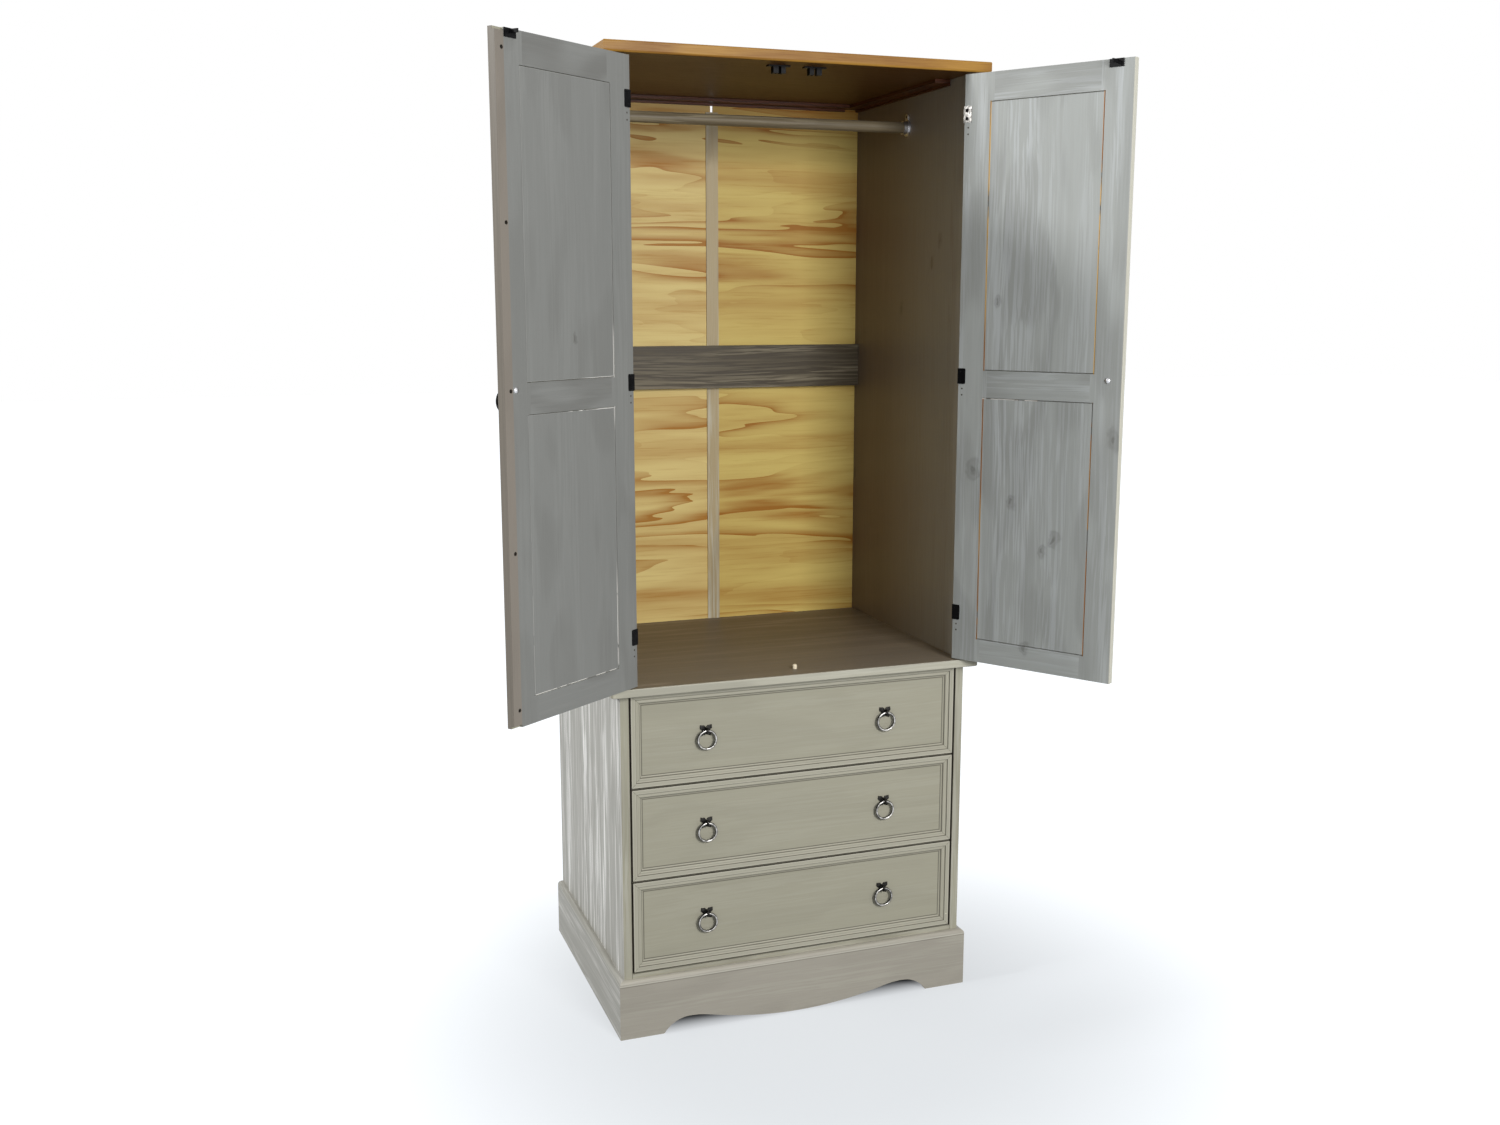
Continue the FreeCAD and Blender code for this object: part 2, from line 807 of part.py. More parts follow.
def pull_plate(x, y_seat, z):
    """Plate of bow-tie outline on a face that looks to the front."""
    half_outline = [
        (0, plate_top - plate_notch),
        (plate_top_half_width, plate_top),
        (plate_top_half_width, plate_top - plate_wing_height),
        (plate_waist_half_width, 0),
        (plate_bottom_half_width, plate_wing_height - plate_bottom),
        (plate_bottom_half_width, -plate_bottom),
        (0, plate_notch - plate_bottom),
    ]
    outline = half_outline + [(-px, pz) for px, pz in half_outline[-2:0:-1]]
    plate = prism([Vector(x + px, y_seat, z + pz) for px, pz in outline], BACK * -plate_thickness)
    bore = stud_radius + stud_clearance
    return plate.cut(cylinder(bore, Vector(x, y_seat - plate_thickness, z), Vector(x, y_seat, z))).Solids[0]


def pull_stud(x, y_seat, z, wall):
    """Stud through the board, with the eye that carries the ring."""
    eye_middle = Vector(x, y_seat - eye_standoff, z)
    eye = Part.makeTorus(eye_radius, eye_wire_radius, eye_middle, RIGHT)
    shank = cylinder(stud_radius, eye_middle + BACK * eye_radius, Vector(x, y_seat + wall + nut_grip, z))
    return joined(shank, eye)


def pull_nut(x, y_inner, z):
    """Domed cap nut on the inside of the board."""
    ball = (nut_radius * nut_radius + nut_height * nut_height) / (2 * nut_height)
    half_turn = math.asin(nut_radius / ball) / 2
    shoulder = Vector(ball * math.sin(half_turn), 0, nut_height - ball * (1 - math.cos(half_turn)))
    bore, depth = stud_radius + stud_clearance, nut_grip + stud_clearance
    rim, crown = Vector(nut_radius, 0, 0), Vector(0, 0, nut_height)
    inside = [crown, Vector(0, 0, depth), Vector(bore, 0, depth), Vector(bore, 0, 0), rim]
    edges = [line(a, b) for a, b in zip(inside, inside[1:])] + [Part.Arc(rim, shoulder, crown).toShape()]
    nut = Part.Face(Part.Wire(edges)).revolve(ORIGIN, UP, 360)
    return along(nut, Vector(x, y_inner, z), BACK)


def pull_fixed(x, y_seat, z, wall):
    """Plate, stud and nut of one pull."""
    return [pull_plate(x, y_seat, z), pull_stud(x, y_seat, z, wall), pull_nut(x, y_seat + wall, z)]


def pull_ring(x, y_seat, z):
    """Ring hanging in its eye."""
    middle = Vector(x, y_seat - eye_standoff, z - ring_radius)
    return Part.makeTorus(ring_radius, ring_wire_radius, middle, BACK)


# Doors, made as the left door closed and then swung

def swung(side, shapes):
    """Shapes of a closed left door, moved to a door that stands open."""
    axis, angle = hinge_axis, -left_open_angle
    if side == RIGHT_DOOR:
        shapes = [mirrored(shape) for shape in shapes]
        axis, angle = Vector(-hinge_axis.x, hinge_axis.y, 0), right_open_angle
    for shape in shapes:
        shape.rotate(axis, UP, angle)
    return shapes


def door_openings():
    """Panel openings of the left door as (x0, x1, z0, z1), lower one first."""
    x0, x1 = door_hinge_edge + stile_width, door_free_edge - stile_width
    middle = door_bottom + middle_rail_rise
    lower = (x0, x1, door_bottom + bottom_rail_width, middle)
    upper = (x0, x1, middle + middle_rail_width, door_top - top_rail_width)
    return [lower, upper]


def panel_rebate(opening):
    """Rebate round a panel opening, cut from the inner face."""
    x0, x1, z0, z1 = opening
    lap = door_panel_lap
    y0 = door_inner - door_panel_setback - door_panel_thickness
    return box(x0 - lap, x1 + lap, y0, door_inner, z0 - lap, z1 + lap)


def meeting_screw_places():
    """Heads and directions of the sunk screws of the meeting strip."""
    x = door_free_edge - meeting_strip_width + meeting_screw_inset
    y = door_inner - meeting_screw_sink
    first, last = door_bottom + meeting_screw_end, door_top - meeting_screw_end
    step = (last - first) / (meeting_screw_count - 1)
    return [(Vector(x, y, first + step * number), BACK * -1) for number in range(meeting_screw_count)]


def meeting_screw_holes():
    """Sunk holes for the screws of the meeting strip."""
    holes = []
    for head, direction in meeting_screw_places():
        sink = cylinder(screw_head_radius + screw_clearance, head, head + BACK * meeting_screw_sink)
        holes.append(joined(sink, screw_hole(head, direction, meeting_screw_length)))
    return holes


def door_stiles(side):
    hinge_inner = door_hinge_edge + stile_width
    free_inner = door_free_edge - stile_width
    hinge_stile = box(door_hinge_edge, hinge_inner, y_front, door_inner, door_bottom, door_top)
    free_stile = box(free_inner, door_free_edge, y_front, door_inner, door_bottom, door_top)
    free_stile = rounded(free_stile, door_arris_round,
                         lambda c: near(c.x, door_free_edge) and near(c.y, y_front))
    stiles = [hinge_stile, free_stile]
    cutters = [panel_rebate(opening) for opening in door_openings()]
    cutters += [screw_hole(*place) for place in door_leaf_screw_places() + strike_screw_places()]
    cutters.append(pull_hole(door_pull_x, door_pull_height, y_front, door_inner))
    if side == LEFT_DOOR:
        cutters.append(box(door_free_edge - meeting_strip_width, door_free_edge,
                           door_inner - meeting_strip_thickness, door_inner, door_bottom, door_top))
        cutters += meeting_screw_holes()
    return [stile.cut(cutters).Solids[0] for stile in stiles]


def door_rails():
    x0, x1 = door_hinge_edge + stile_width, door_free_edge - stile_width
    lower, upper = door_openings()
    spans = [(door_bottom, lower[2]), (lower[3], upper[2]), (upper[3], door_top)]
    rebates = [panel_rebate(opening) for opening in (lower, upper)]
    return [box(x0, x1, y_front, door_inner, z0, z1).cut(rebates).Solids[0] for z0, z1 in spans]


def door_panels():
    margin = door_panel_lap - door_panel_gap
    y1 = door_inner - door_panel_setback
    return [box(x0 - margin, x1 + margin, y1 - door_panel_thickness, y1, z0 - margin, z1 + margin)
            for x0, x1, z0, z1 in door_openings()]


def door_beads():
    profile = moulding_profile(bead_width, bead_height, bead_band, bead_step,
                               bead_fillet_width, bead_fillet_height)
    y_seat = door_inner - door_panel_setback - door_panel_thickness
    sticks = []
    for x0, x1, z0, z1 in door_openings():
        sticks += mitred_frame(x0, x1, z0, z1, y_seat, bead_width, bead_height, profile)
    return sticks


def meeting_strip():
    x0 = door_free_edge - meeting_strip_width
    z0, z1 = door_bottom + meeting_strip_end_gap, door_top - meeting_strip_end_gap
    strip = box(x0, door_free_edge, door_inner - meeting_strip_thickness, door_inner, z0, z1)
    return [strip.cut(meeting_screw_holes()).Solids[0]]


def export_door(side):
    pull = (door_pull_x, y_front, door_pull_height)
    pieces = {
        "stiles": door_stiles(side),
        "rails": door_rails(),
        "panels": door_panels(),
        "beads": door_beads(),
        "hinge_leaves": door_hinge_leaves(),
        "strike": strike(),
        "pull_plate": pull_fixed(*pull, door_thickness),
        "pull_ring": [pull_ring(*pull)],
    }
    if side == LEFT_DOOR:
        pieces["meeting_strip"] = meeting_strip()
        pieces["strip_screws"] = [screw(*place, meeting_screw_length) for place in meeting_screw_places()]
    for name, solids in pieces.items():
        export(side + "_" + name, swung(side, solids))


# Drawers, numbered from the top

def drawer_bottom_edge(number):
    """Height of the lower edge of a drawer's front."""
    below = drawer_count - number
    return base_rail_top + drawer_gap + below * (drawer_height + drawer_gap)


def drawer_pull_places(number):
    z = drawer_bottom_edge(number) + drawer_height / 2 + drawer_pull_rise
    return [(x, drawer_face, z) for x in (-drawer_pull_spacing / 2, drawer_pull_spacing / 2)]


def drawer_bottom_panel(number, clearance):
    """Bottom of a drawer's box, or with a clearance the grooves that hold it."""
    half = drawer_width / 2 - drawer_side_thickness + drawer_groove_depth
    z0 = drawer_bottom_edge(number) + drawer_box_rise + drawer_bottom_rise
    return box(-half - clearance, half + clearance, drawer_inner - drawer_groove_depth - clearance,
               drawer_rear + clearance, z0 - clearance, z0 + drawer_bottom_thickness + clearance)


def drawer_front(number):
    half = drawer_width / 2
    z0 = drawer_bottom_edge(number)
    board = box(-half, half, drawer_face, drawer_inner, z0, z0 + drawer_height)
    cutters = [pull_hole(x, z, drawer_face, drawer_inner) for x, _, z in drawer_pull_places(number)]
    cutters.append(drawer_bottom_panel(number, drawer_groove_clearance))
    return [board.cut(cutters).Solids[0]]


def drawer_moulding(number):
    half = drawer_width / 2
    z0 = drawer_bottom_edge(number)
    profile = moulding_profile(mould_width, mould_height, mould_band, mould_step,
                               mould_fillet_width, mould_fillet_height)
    return mitred_frame(-half, half, z0, z0 + drawer_height, drawer_face, mould_width, mould_height, profile)


def drawer_box(number):
    half = drawer_width / 2
    z0 = drawer_bottom_edge(number) + drawer_box_rise
    z1 = z0 + drawer_side_height
    groove = drawer_bottom_panel(number, drawer_groove_clearance)
    left = box(-half, -half + drawer_side_thickness, drawer_inner, drawer_rear, z0, z1).cut(groove).Solids[0]
    inside = half - drawer_side_thickness
    floor = z0 + drawer_bottom_rise + drawer_bottom_thickness
    back = box(-inside, inside, drawer_rear - drawer_side_thickness, drawer_rear, floor, z1)
    return [left, mirrored(left), back, drawer_bottom_panel(number, 0)]


def drawer_runners():
    solids = []
    for number in range(1, drawer_count + 1):
        z1 = drawer_bottom_edge(number) + drawer_box_rise - runner_clearance
        left = box(-inner_half, -inner_half + runner_width, drawer_inner + runner_front_gap,
                   y_ply - runner_back_gap, z1 - runner_height, z1)
        solids += [left, mirrored(left)]
    return solids


def export_drawer(number):
    name = "drawer_%d_" % number
    left, right = drawer_pull_places(number)
    export(name + "front", drawer_front(number))
    export(name + "moulding", drawer_moulding(number))
    export(name + "box", drawer_box(number))
    plates = pull_fixed(*left, drawer_front_thickness) + pull_fixed(*right, drawer_front_thickness)
    export(name + "pull_plates", plates)
    export(name + "ring_left", [pull_ring(*left)])
    export(name + "ring_right", [pull_ring(*right)])


# Case, rollers, doors and drawers

def case_screws():
    """Screws of the case leaves, rail sockets and catches."""
    left = [screw(*place) for place in case_leaf_screw_places() + [socket_screw_place()]]
    return left + [mirrored(solid) for solid in left] + [screw(*place) for place in catch_screw_places()]


def export_case():
    upper_left, upper_right = upper_sides()
    lower_left, lower_right = lower_sides()
    pieces = {
        "top_board": top_board(),
        "top_cleats": top_cleats(),
        "upper_left_side": upper_left,
        "upper_right_side": upper_right,
        "waist_board": waist_board(),
        "lower_left_side": lower_left,
        "lower_right_side": lower_right,
        "back_panels": back_panels(),
        "back_joint_strip": back_joint_strip(),
        "back_rail": back_rail(),
        "base_rail": base_rail(),
        "plinth_front": plinth_front(),
        "plinth_returns": plinth_returns(),
        "drawer_runners": drawer_runners(),
        "hanging_rail": hanging_rail(),
        "rail_sockets": rail_sockets(),
        "catch_housings": catch_housings(),
        "door_stop_peg": door_stop_peg(),
        "case_hinge_leaves": case_hinge_leaves(),
        "case_screws": case_screws(),
    }
    for name, solids in pieces.items():
        export(name, solids)


def export_rollers():
    for name, sign in (("inner", 1), ("outer", -1)):
        roller = catch_roller(sign)
        export("left_catch_roller_" + name, [roller])
        export("right_catch_roller_" + name, [mirrored(roller)])


export_case()
export_rollers()
for door in (LEFT_DOOR, RIGHT_DOOR):
    export_door(door)
for drawer in range(1, drawer_count + 1):
    export_drawer(drawer)
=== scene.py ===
import json
import math

import bmesh
import bpy
from bpy.props import FloatProperty, FloatVectorProperty, PointerProperty
from mathutils import Color, Matrix, Vector


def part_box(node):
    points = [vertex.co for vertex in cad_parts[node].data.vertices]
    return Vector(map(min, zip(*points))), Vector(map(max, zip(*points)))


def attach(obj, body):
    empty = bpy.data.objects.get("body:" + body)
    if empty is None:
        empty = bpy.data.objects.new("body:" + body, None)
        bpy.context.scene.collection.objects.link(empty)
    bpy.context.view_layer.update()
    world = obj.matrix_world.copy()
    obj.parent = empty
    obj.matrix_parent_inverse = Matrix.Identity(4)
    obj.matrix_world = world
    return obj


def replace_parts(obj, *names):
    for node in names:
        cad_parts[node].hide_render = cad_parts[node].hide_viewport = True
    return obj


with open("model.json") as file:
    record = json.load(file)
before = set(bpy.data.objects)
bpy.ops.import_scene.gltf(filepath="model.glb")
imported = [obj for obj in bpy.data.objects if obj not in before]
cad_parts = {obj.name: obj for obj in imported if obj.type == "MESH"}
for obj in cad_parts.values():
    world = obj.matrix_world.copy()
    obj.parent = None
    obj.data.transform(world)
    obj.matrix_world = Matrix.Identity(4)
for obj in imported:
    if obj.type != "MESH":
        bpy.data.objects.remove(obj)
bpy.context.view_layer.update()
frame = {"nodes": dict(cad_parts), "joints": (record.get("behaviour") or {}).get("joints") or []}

bl_info = {
    "name": "Chifforobe Finishes",
    "version": (1, 0, 0),
    "blender": (4, 5, 0),
    "location": "View3D > Sidebar > Chifforobe",
    "description": "Paint, wax and hardware of a wardrobe over three drawers, and its studio stage",
    "category": "Object",
}

NODES = frame["nodes"]
JOINTS = {joint["name"]: joint for joint in frame["joints"]}
SIDES = ("left", "right")
DRAWERS = (1, 2, 3)
MM = 0.001

# Turns that bring a board's grain onto +Z
UPRIGHT = Matrix.Identity(4)
SIDEWAYS = Matrix.Rotation(math.radians(-90), 4, "Y")
DEEP = Matrix.Rotation(math.radians(90), 4, "X")


def colour(label, text, red, green, blue):
    """Colour property, given as it looks on a screen from 0 to 255."""
    screen = Color((red / 255, green / 255, blue / 255))
    return FloatVectorProperty(name=label, description=text, subtype="COLOR", size=4, min=0.0, max=1.0,
                               default=(*screen.from_srgb_to_scene_linear(), 1.0))


def length(label, text, millimetres):
    """Length property, given in millimetres."""
    return FloatProperty(name=label, description=text, default=millimetres * MM, min=0.0, unit="LENGTH",
                         precision=5)


def share(label, text, default):
    """Property from 0 to 1."""
    return FloatProperty(name=label, description=text, default=default, min=0.0, max=1.0, subtype="FACTOR")


class ChifforobePaint(bpy.types.PropertyGroup):
    side: colour("Side", "Paint on the outer sides", 157, 155, 146)
    side_wash: colour("Side wash", "White streaks rubbed along the grain of the sides", 248, 247, 243)
    inside: colour("Inside", "Paint at the back of the hanging space", 117, 103, 87)
    # Painted light: paler paint towards the front that stands for the light near the opening
    inside_painted_light: colour("Inside, faded", "Paint of the hanging space faded beside the doors", 158, 154, 145)
    inside_wash: colour("Inside wash", "Paler streaks inside the hanging space", 138, 125, 108)
    waist: colour("Waist", "Paint at the back of the hanging space's floor", 102, 89, 70)
    # Painted light: paler paint towards the front that stands for the light near the opening
    waist_painted_light: colour("Waist, faded", "Paint of that floor faded beside the doors", 126, 116, 102)
    moulding: colour("Moulding", "Paint on the drawers' mouldings", 166, 163, 147)
    front: colour("Front", "Paint on the drawers and door fronts", 158, 155, 138)
    front_wash: colour("Front wash", "Paler streaks on the fronts", 176, 174, 160)
    plinth: colour("Plinth", "Paint on the plinth's front", 159, 154, 143)
    # Also the colour of painted shade in creases, gaps and under boards, besides the dark marks of knots and
    # grain
    glaze: colour("Glaze", "Dark glaze left in creases and gaps", 52, 46, 37)
    # Also the colour of painted highlights on the ridges of the mouldings and the plinth
    rubbed: colour("Rubbed", "Paint rubbed pale on ridges", 198, 196, 182)
    left_door: colour("Left door", "Paint on the inner face of the left door", 124, 125, 122)
    left_wash: colour("Left door wash", "Paler streaks on the left door", 142, 143, 140)
    right_door: colour("Right door", "Paint on the inner face of the right door", 153, 156, 153)
    right_wash: colour("Right door wash", "Whitish streaks on the right door", 190, 194, 197)
    edge_band: colour("Edge band", "Meeting strip on the left door", 129, 122, 113)
    free_edge: colour("Free edge", "Free edge of the left door", 114, 108, 99)
    strip: colour("Joint strip", "Strip between the back panels", 168, 151, 116)
    back_rail: colour("Back rail", "Rail across the back", 62, 53, 37)
    back_rail_wash: colour("Back rail wash", "Paler grain of the rail across the back", 156, 146, 122)
    rail: colour("Hanging rail", "Hanging rail", 102, 91, 71)
    raw_line: colour("Raw line", "Bare wood in the joints of the right door", 156, 102, 48)
    raw_pale: colour("Pale raw line", "Paler bare wood in the joints of the right door", 212, 170, 94)
    # Also painted light along the left door's panel joints, over the grooves' shade
    pale_line: colour("Pale line", "Bare filler in the joints of the doors", 232, 230, 224)
    speck: colour("Speck", "Small bare marks in the paint", 226, 220, 200)
    raw_edge: colour("Raw edge", "Unpainted sawn edges under the plinth", 150, 105, 80)


class ChifforobeWood(bpy.types.PropertyGroup):
    wax: colour("Waxed pine", "Top board", 163, 121, 50)
    wax_dark: colour("Waxed figure", "Dark grain of the top board", 118, 76, 28)
    underside: colour("Underside", "Underside of the top board", 78, 45, 8)
    underside_dark: colour("Underside figure", "Dark grain under the top board", 64, 40, 14)
    cleat: colour("Cleat", "Stepped cleats", 88, 46, 25)
    cleat_dark: colour("Cleat figure", "Dark grain of the cleats", 44, 24, 14)
    ply: colour("Plywood", "Pale veneer of the left sheet", 213, 191, 124)
    ply_dark: colour("Plywood flame", "Brown flames of the left sheet", 160, 108, 34)
    # Painted shade: the right sheet is a darker copy of the left sheet's veneer
    ply_painted_shade: colour("Right plywood", "Veneer of the right sheet", 201, 178, 101)
    ply_flame_painted_shade: colour("Right plywood flame", "Brown flames of the right sheet", 151, 99, 24)
    pine: colour("Bare pine", "Drawer boxes and runners", 222, 192, 146)
    pine_dark: colour("Bare figure", "Dark grain of the bare pine", 184, 136, 82)


class ChifforobeMetal(bpy.types.PropertyGroup):
    black: colour("Black lacquer", "Hinges, catches and strikes", 8, 8, 9)
    black_worn: colour("Worn lacquer", "Lacquer rubbed grey", 44, 44, 46)
    pewter: colour("Pewter", "Dark skin of the ring pulls", 24, 23, 21)
    # Also the colour of the painted highlight on the rings' crowns and the painted reflection on the right
    # door's upper leaf
    pewter_worn_and_highlight: colour("Bright pewter", "Pewter rubbed bright", 196, 193, 188)
    chrome: colour("Chrome", "Rail sockets", 206, 206, 208)
    steel: colour("Steel", "Cap nuts", 190, 190, 192)
    roller: colour("Rollers", "Catch rollers", 12, 12, 13)
    screw: colour("Screws", "Blackened screws", 24, 23, 22)
    screw_worn: colour("Worn screws", "Screw heads rubbed bright", 70, 67, 64)
    cream: colour("Cream", "Door stop peg", 226, 214, 186)


class ChifforobePulls(bpy.types.PropertyGroup):
    ring: length("Ring", "Radius of a ring to the middle of its wire", 18.0)
    wire: length("Wire", "Radius of a ring's wire", 2.4)
    eye: length("Eye", "Radius of the eye to the middle of its wire", 4.9)
    eye_wire: length("Eye wire", "Radius of the eye's wire", 2.1)
    standoff: length("Standoff", "From the board's face to the middle of the eye", 9.0)
    plate: length("Plate", "Thickness of a pull plate", 2.5)
    plate_bevel: length("Plate bevel", "Bevel round a pull plate", 0.6)
    stud: length("Stud", "Radius of a stud", 2.4)
    nut: length("Nut", "Radius of a cap nut", 5.5)
    nut_height: length("Nut height", "Height of a cap nut", 3.4)


class ChifforobeStage(bpy.types.PropertyGroup):
    eye: FloatVectorProperty(name="Eye", description="Place of the camera", subtype="XYZ", size=3,
                             unit="LENGTH", default=(-1.0363, -3.1232, 1.409))
    turn: FloatProperty(name="Turn", description="Camera's turn to the right of straight back",
                        subtype="ANGLE", default=math.radians(19.80))
    dip: FloatProperty(name="Dip", description="Camera's tilt below level", subtype="ANGLE",
                       default=math.radians(10.02))
    lens: FloatProperty(name="Lens", description="Focal length in millimetres", default=35.58, min=1.0)
    front: FloatProperty(name="Front light", description="Watts of the light from the front",
                         default=112.0, min=0.0)
    left: FloatProperty(name="Left light", description="Watts of the light from the left",
                        default=115.0, min=0.0)
    ambient: share("Ambient", "Strength of the light from all round", 0.36)


# Node trees

class Nodes:
    """Adds nodes to one tree and joins them."""

    def __init__(self, tree):
        self.tree = tree

    def put(self, socket, value):
        """Joins a socket to another one, or gives it a constant."""
        if isinstance(value, bpy.types.NodeSocket):
            self.tree.links.new(value, socket)
        else:
            socket.default_value = value

    def add(self, kind, inputs, **settings):
        """New node with its inputs by name or number."""
        node = self.tree.nodes.new(kind)
        for name, value in settings.items():
            setattr(node, name, value)
        for key, value in inputs.items():
            self.put(node.inputs[key], value)
        return node

    def calc(self, operation, *values):
        return self.add("ShaderNodeMath", dict(enumerate(values)), operation=operation).outputs[0]

    def plus(self, a, b):
        return self.calc("ADD", a, b)

    def minus(self, a, b):
        return self.calc("SUBTRACT", a, b)

    def times(self, a, b):
        return self.calc("MULTIPLY", a, b)

    def times_plus(self, a, b, c):
        return self.calc("MULTIPLY_ADD", a, b, c)

    def most(self, a, b):
        return self.calc("MAXIMUM", a, b)

    def size(self, value):
        """Value without its sign."""
        return self.calc("ABSOLUTE", value)

    def vector(self, operation, *values):
        return self.add("ShaderNodeVectorMath", dict(enumerate(values)), operation=operation).outputs[0]

    def scaled(self, vector, factor):
        return self.add("ShaderNodeVectorMath", {0: vector, "Scale": factor}, operation="SCALE").outputs[0]

    def distance(self, a, b=(0, 0, 0)):
        """Distance between two places, or the length of a vector."""
        return self.add("ShaderNodeVectorMath", {0: a, 1: b}, operation="DISTANCE").outputs["Value"]

    def split(self, vector):
        return self.add("ShaderNodeSeparateXYZ", {0: vector}).outputs

    def blend(self, factor, a, b):
        """Colour between a and b."""
        return self.add("ShaderNodeMix", {0: factor, 6: a, 7: b}, data_type="RGBA").outputs[2]

    def between(self, factor, a, b):
        """Value between a and b."""
        return self.add("ShaderNodeMix", {0: factor, 2: a, 3: b}, data_type="FLOAT").outputs[0]

    def either(self, factor, a, b):
        """Vector between a and b."""
        return self.add("ShaderNodeMix", {0: factor, 4: a, 5: b}, data_type="VECTOR").outputs[1]

    def rise(self, value, low, high, start=0.0, end=1.0):
        """Smooth step from start to end as a value goes from low to high."""
        inputs = {0: value, 1: low, 2: high, 3: start, 4: end}
        return self.add("ShaderNodeMapRange", inputs, interpolation_type="SMOOTHSTEP").outputs[0]

    def fall(self, value, low, high):
        """Smooth step from 1 to 0 as a value goes from low to high."""
        return self.rise(value, low, high, 1.0, 0.0)

    def line(self, value, middle, half):
        """Soft line where a value is near its middle."""
        return self.fall(self.size(self.minus(value, middle)), 0.0, half)

    def noise(self, vector, scale, detail=2.0, roughness=0.5, distortion=0.0):
        """Noise as a value and a colour, with one scale or a scale for each axis."""
        if isinstance(scale, tuple):
            vector, scale = self.vector("MULTIPLY", vector, scale), 1.0
        inputs = {"Vector": vector, "Scale": scale, "Detail": detail, "Roughness": roughness,
                  "Distortion": distortion}
        return self.add("ShaderNodeTexNoise", inputs).outputs

    def cells(self, vector, scale):
        """Distance from the middle of a random cell, and the chance of that cell from 0 to 1."""
        cell = self.add("ShaderNodeTexVoronoi", {"Vector": vector, "Scale": scale}).outputs
        return cell["Distance"], self.split(cell["Color"])[0]

    def turned(self, vector, place):
        """Coordinates moved and turned by a matrix."""
        inputs = {"Vector": vector, "Location": place.to_translation(), "Rotation": place.to_euler()}
        return self.add("ShaderNodeMapping", inputs).outputs[0]

    def group(self, tree, **inputs):
        """Group node with its inputs by name in small letters."""
        named = {name.capitalize(): value for name, value in inputs.items()}
        return self.add("ShaderNodeGroup", named, node_tree=tree).outputs


# What the group of a finish puts out
LOOK = {"Color": "Color", "Roughness": "Float", "Height": "Float"}


def shared_group(name, values="", colours="", vectors="Vector", outputs=LOOK):
    """Turns a function that fills a shader group into one that gives the group, filled at its first use."""
    kinds = {"Vector": vectors, "Float": values, "Color": colours}
    inputs = {label: kind for kind, labels in kinds.items() for label in labels.split()}

    def wrap(fill):
        def give():
            tree = bpy.data.node_groups.get(name)
            if tree is None:
                tree = bpy.data.node_groups.new(name, "ShaderNodeTree")
                for in_out, sockets in (("INPUT", inputs), ("OUTPUT", outputs)):
                    for label, kind in sockets.items():
                        tree.interface.new_socket(label, in_out=in_out, socket_type="NodeSocket" + kind)
                nodes = Nodes(tree)
                given = tree.nodes.new("NodeGroupInput").outputs
                result = tree.nodes.new("NodeGroupOutput").inputs
                for label, value in fill(nodes, given).items():
                    nodes.put(result[label], value)
            return tree
        return give
    return wrap


@shared_group("Pine grain", "Seed Knots",
              outputs=dict.fromkeys(("Fibre", "Streak", "Figure", "Knot"), "Float"))
def pine_grain(nodes, given):
    """Grain of glued pine boards with the growth along Z: fibre, long streaks, growth rings and knots."""
    board_width, ring_gap = 105 * MM, 6.5 * MM
    heart_depth, heart_spread, knot_bend = 30 * MM, 50 * MM, 20 * MM
    moved = nodes.vector("ADD", given["Vector"], nodes.scaled((3.1, 1.7, 2.3), given["Seed"]))
    drift, drift_vector = nodes.noise(moved, (7.0, 7.0, 2.2))
    wander = nodes.vector("ADD", moved, nodes.scaled(drift_vector, 25 * MM))
    across, depth, _ = nodes.split(wander)
    board = nodes.calc("FLOOR", nodes.calc("DIVIDE", across, board_width))
    chance = nodes.add("ShaderNodeTexWhiteNoise", {"W": board}, noise_dimensions="1D").outputs["Color"]
    chance_a, chance_b, _ = nodes.split(chance)
    inside = nodes.minus(across, nodes.times(nodes.plus(board, chance_a), board_width))
    heart = nodes.times_plus(chance_b, heart_spread, nodes.plus(depth, heart_depth))
    radius = nodes.distance(nodes.add("ShaderNodeCombineXYZ", {0: inside, 1: heart, 2: 0.0}).outputs[0])
    away, picked = nodes.cells(nodes.vector("MULTIPLY", moved, (8.0, 8.0, 3.2)), 1.0)
    chosen = nodes.calc("LESS_THAN", picked, given["Knots"])
    spot = nodes.times_plus(drift, 0.03, away)
    bend = nodes.times(nodes.fall(spot, 0.02, 0.3), nodes.times(chosen, knot_bend))
    rings = nodes.calc("DIVIDE", nodes.plus(radius, bend), ring_gap)
    wave = nodes.calc("SINE", nodes.times(rings, 2 * math.pi))
    return {"Fibre": nodes.noise(wander, (620.0, 620.0, 13.64), 3.0, 0.6)[0],
            "Streak": nodes.noise(wander, (210.0, 210.0, 5.04), 3.0, 0.6)[0],
            "Figure": nodes.rise(wave, -0.4, 1.0),
            "Knot": nodes.times(nodes.fall(spot, 0.04, 0.075), chosen)}


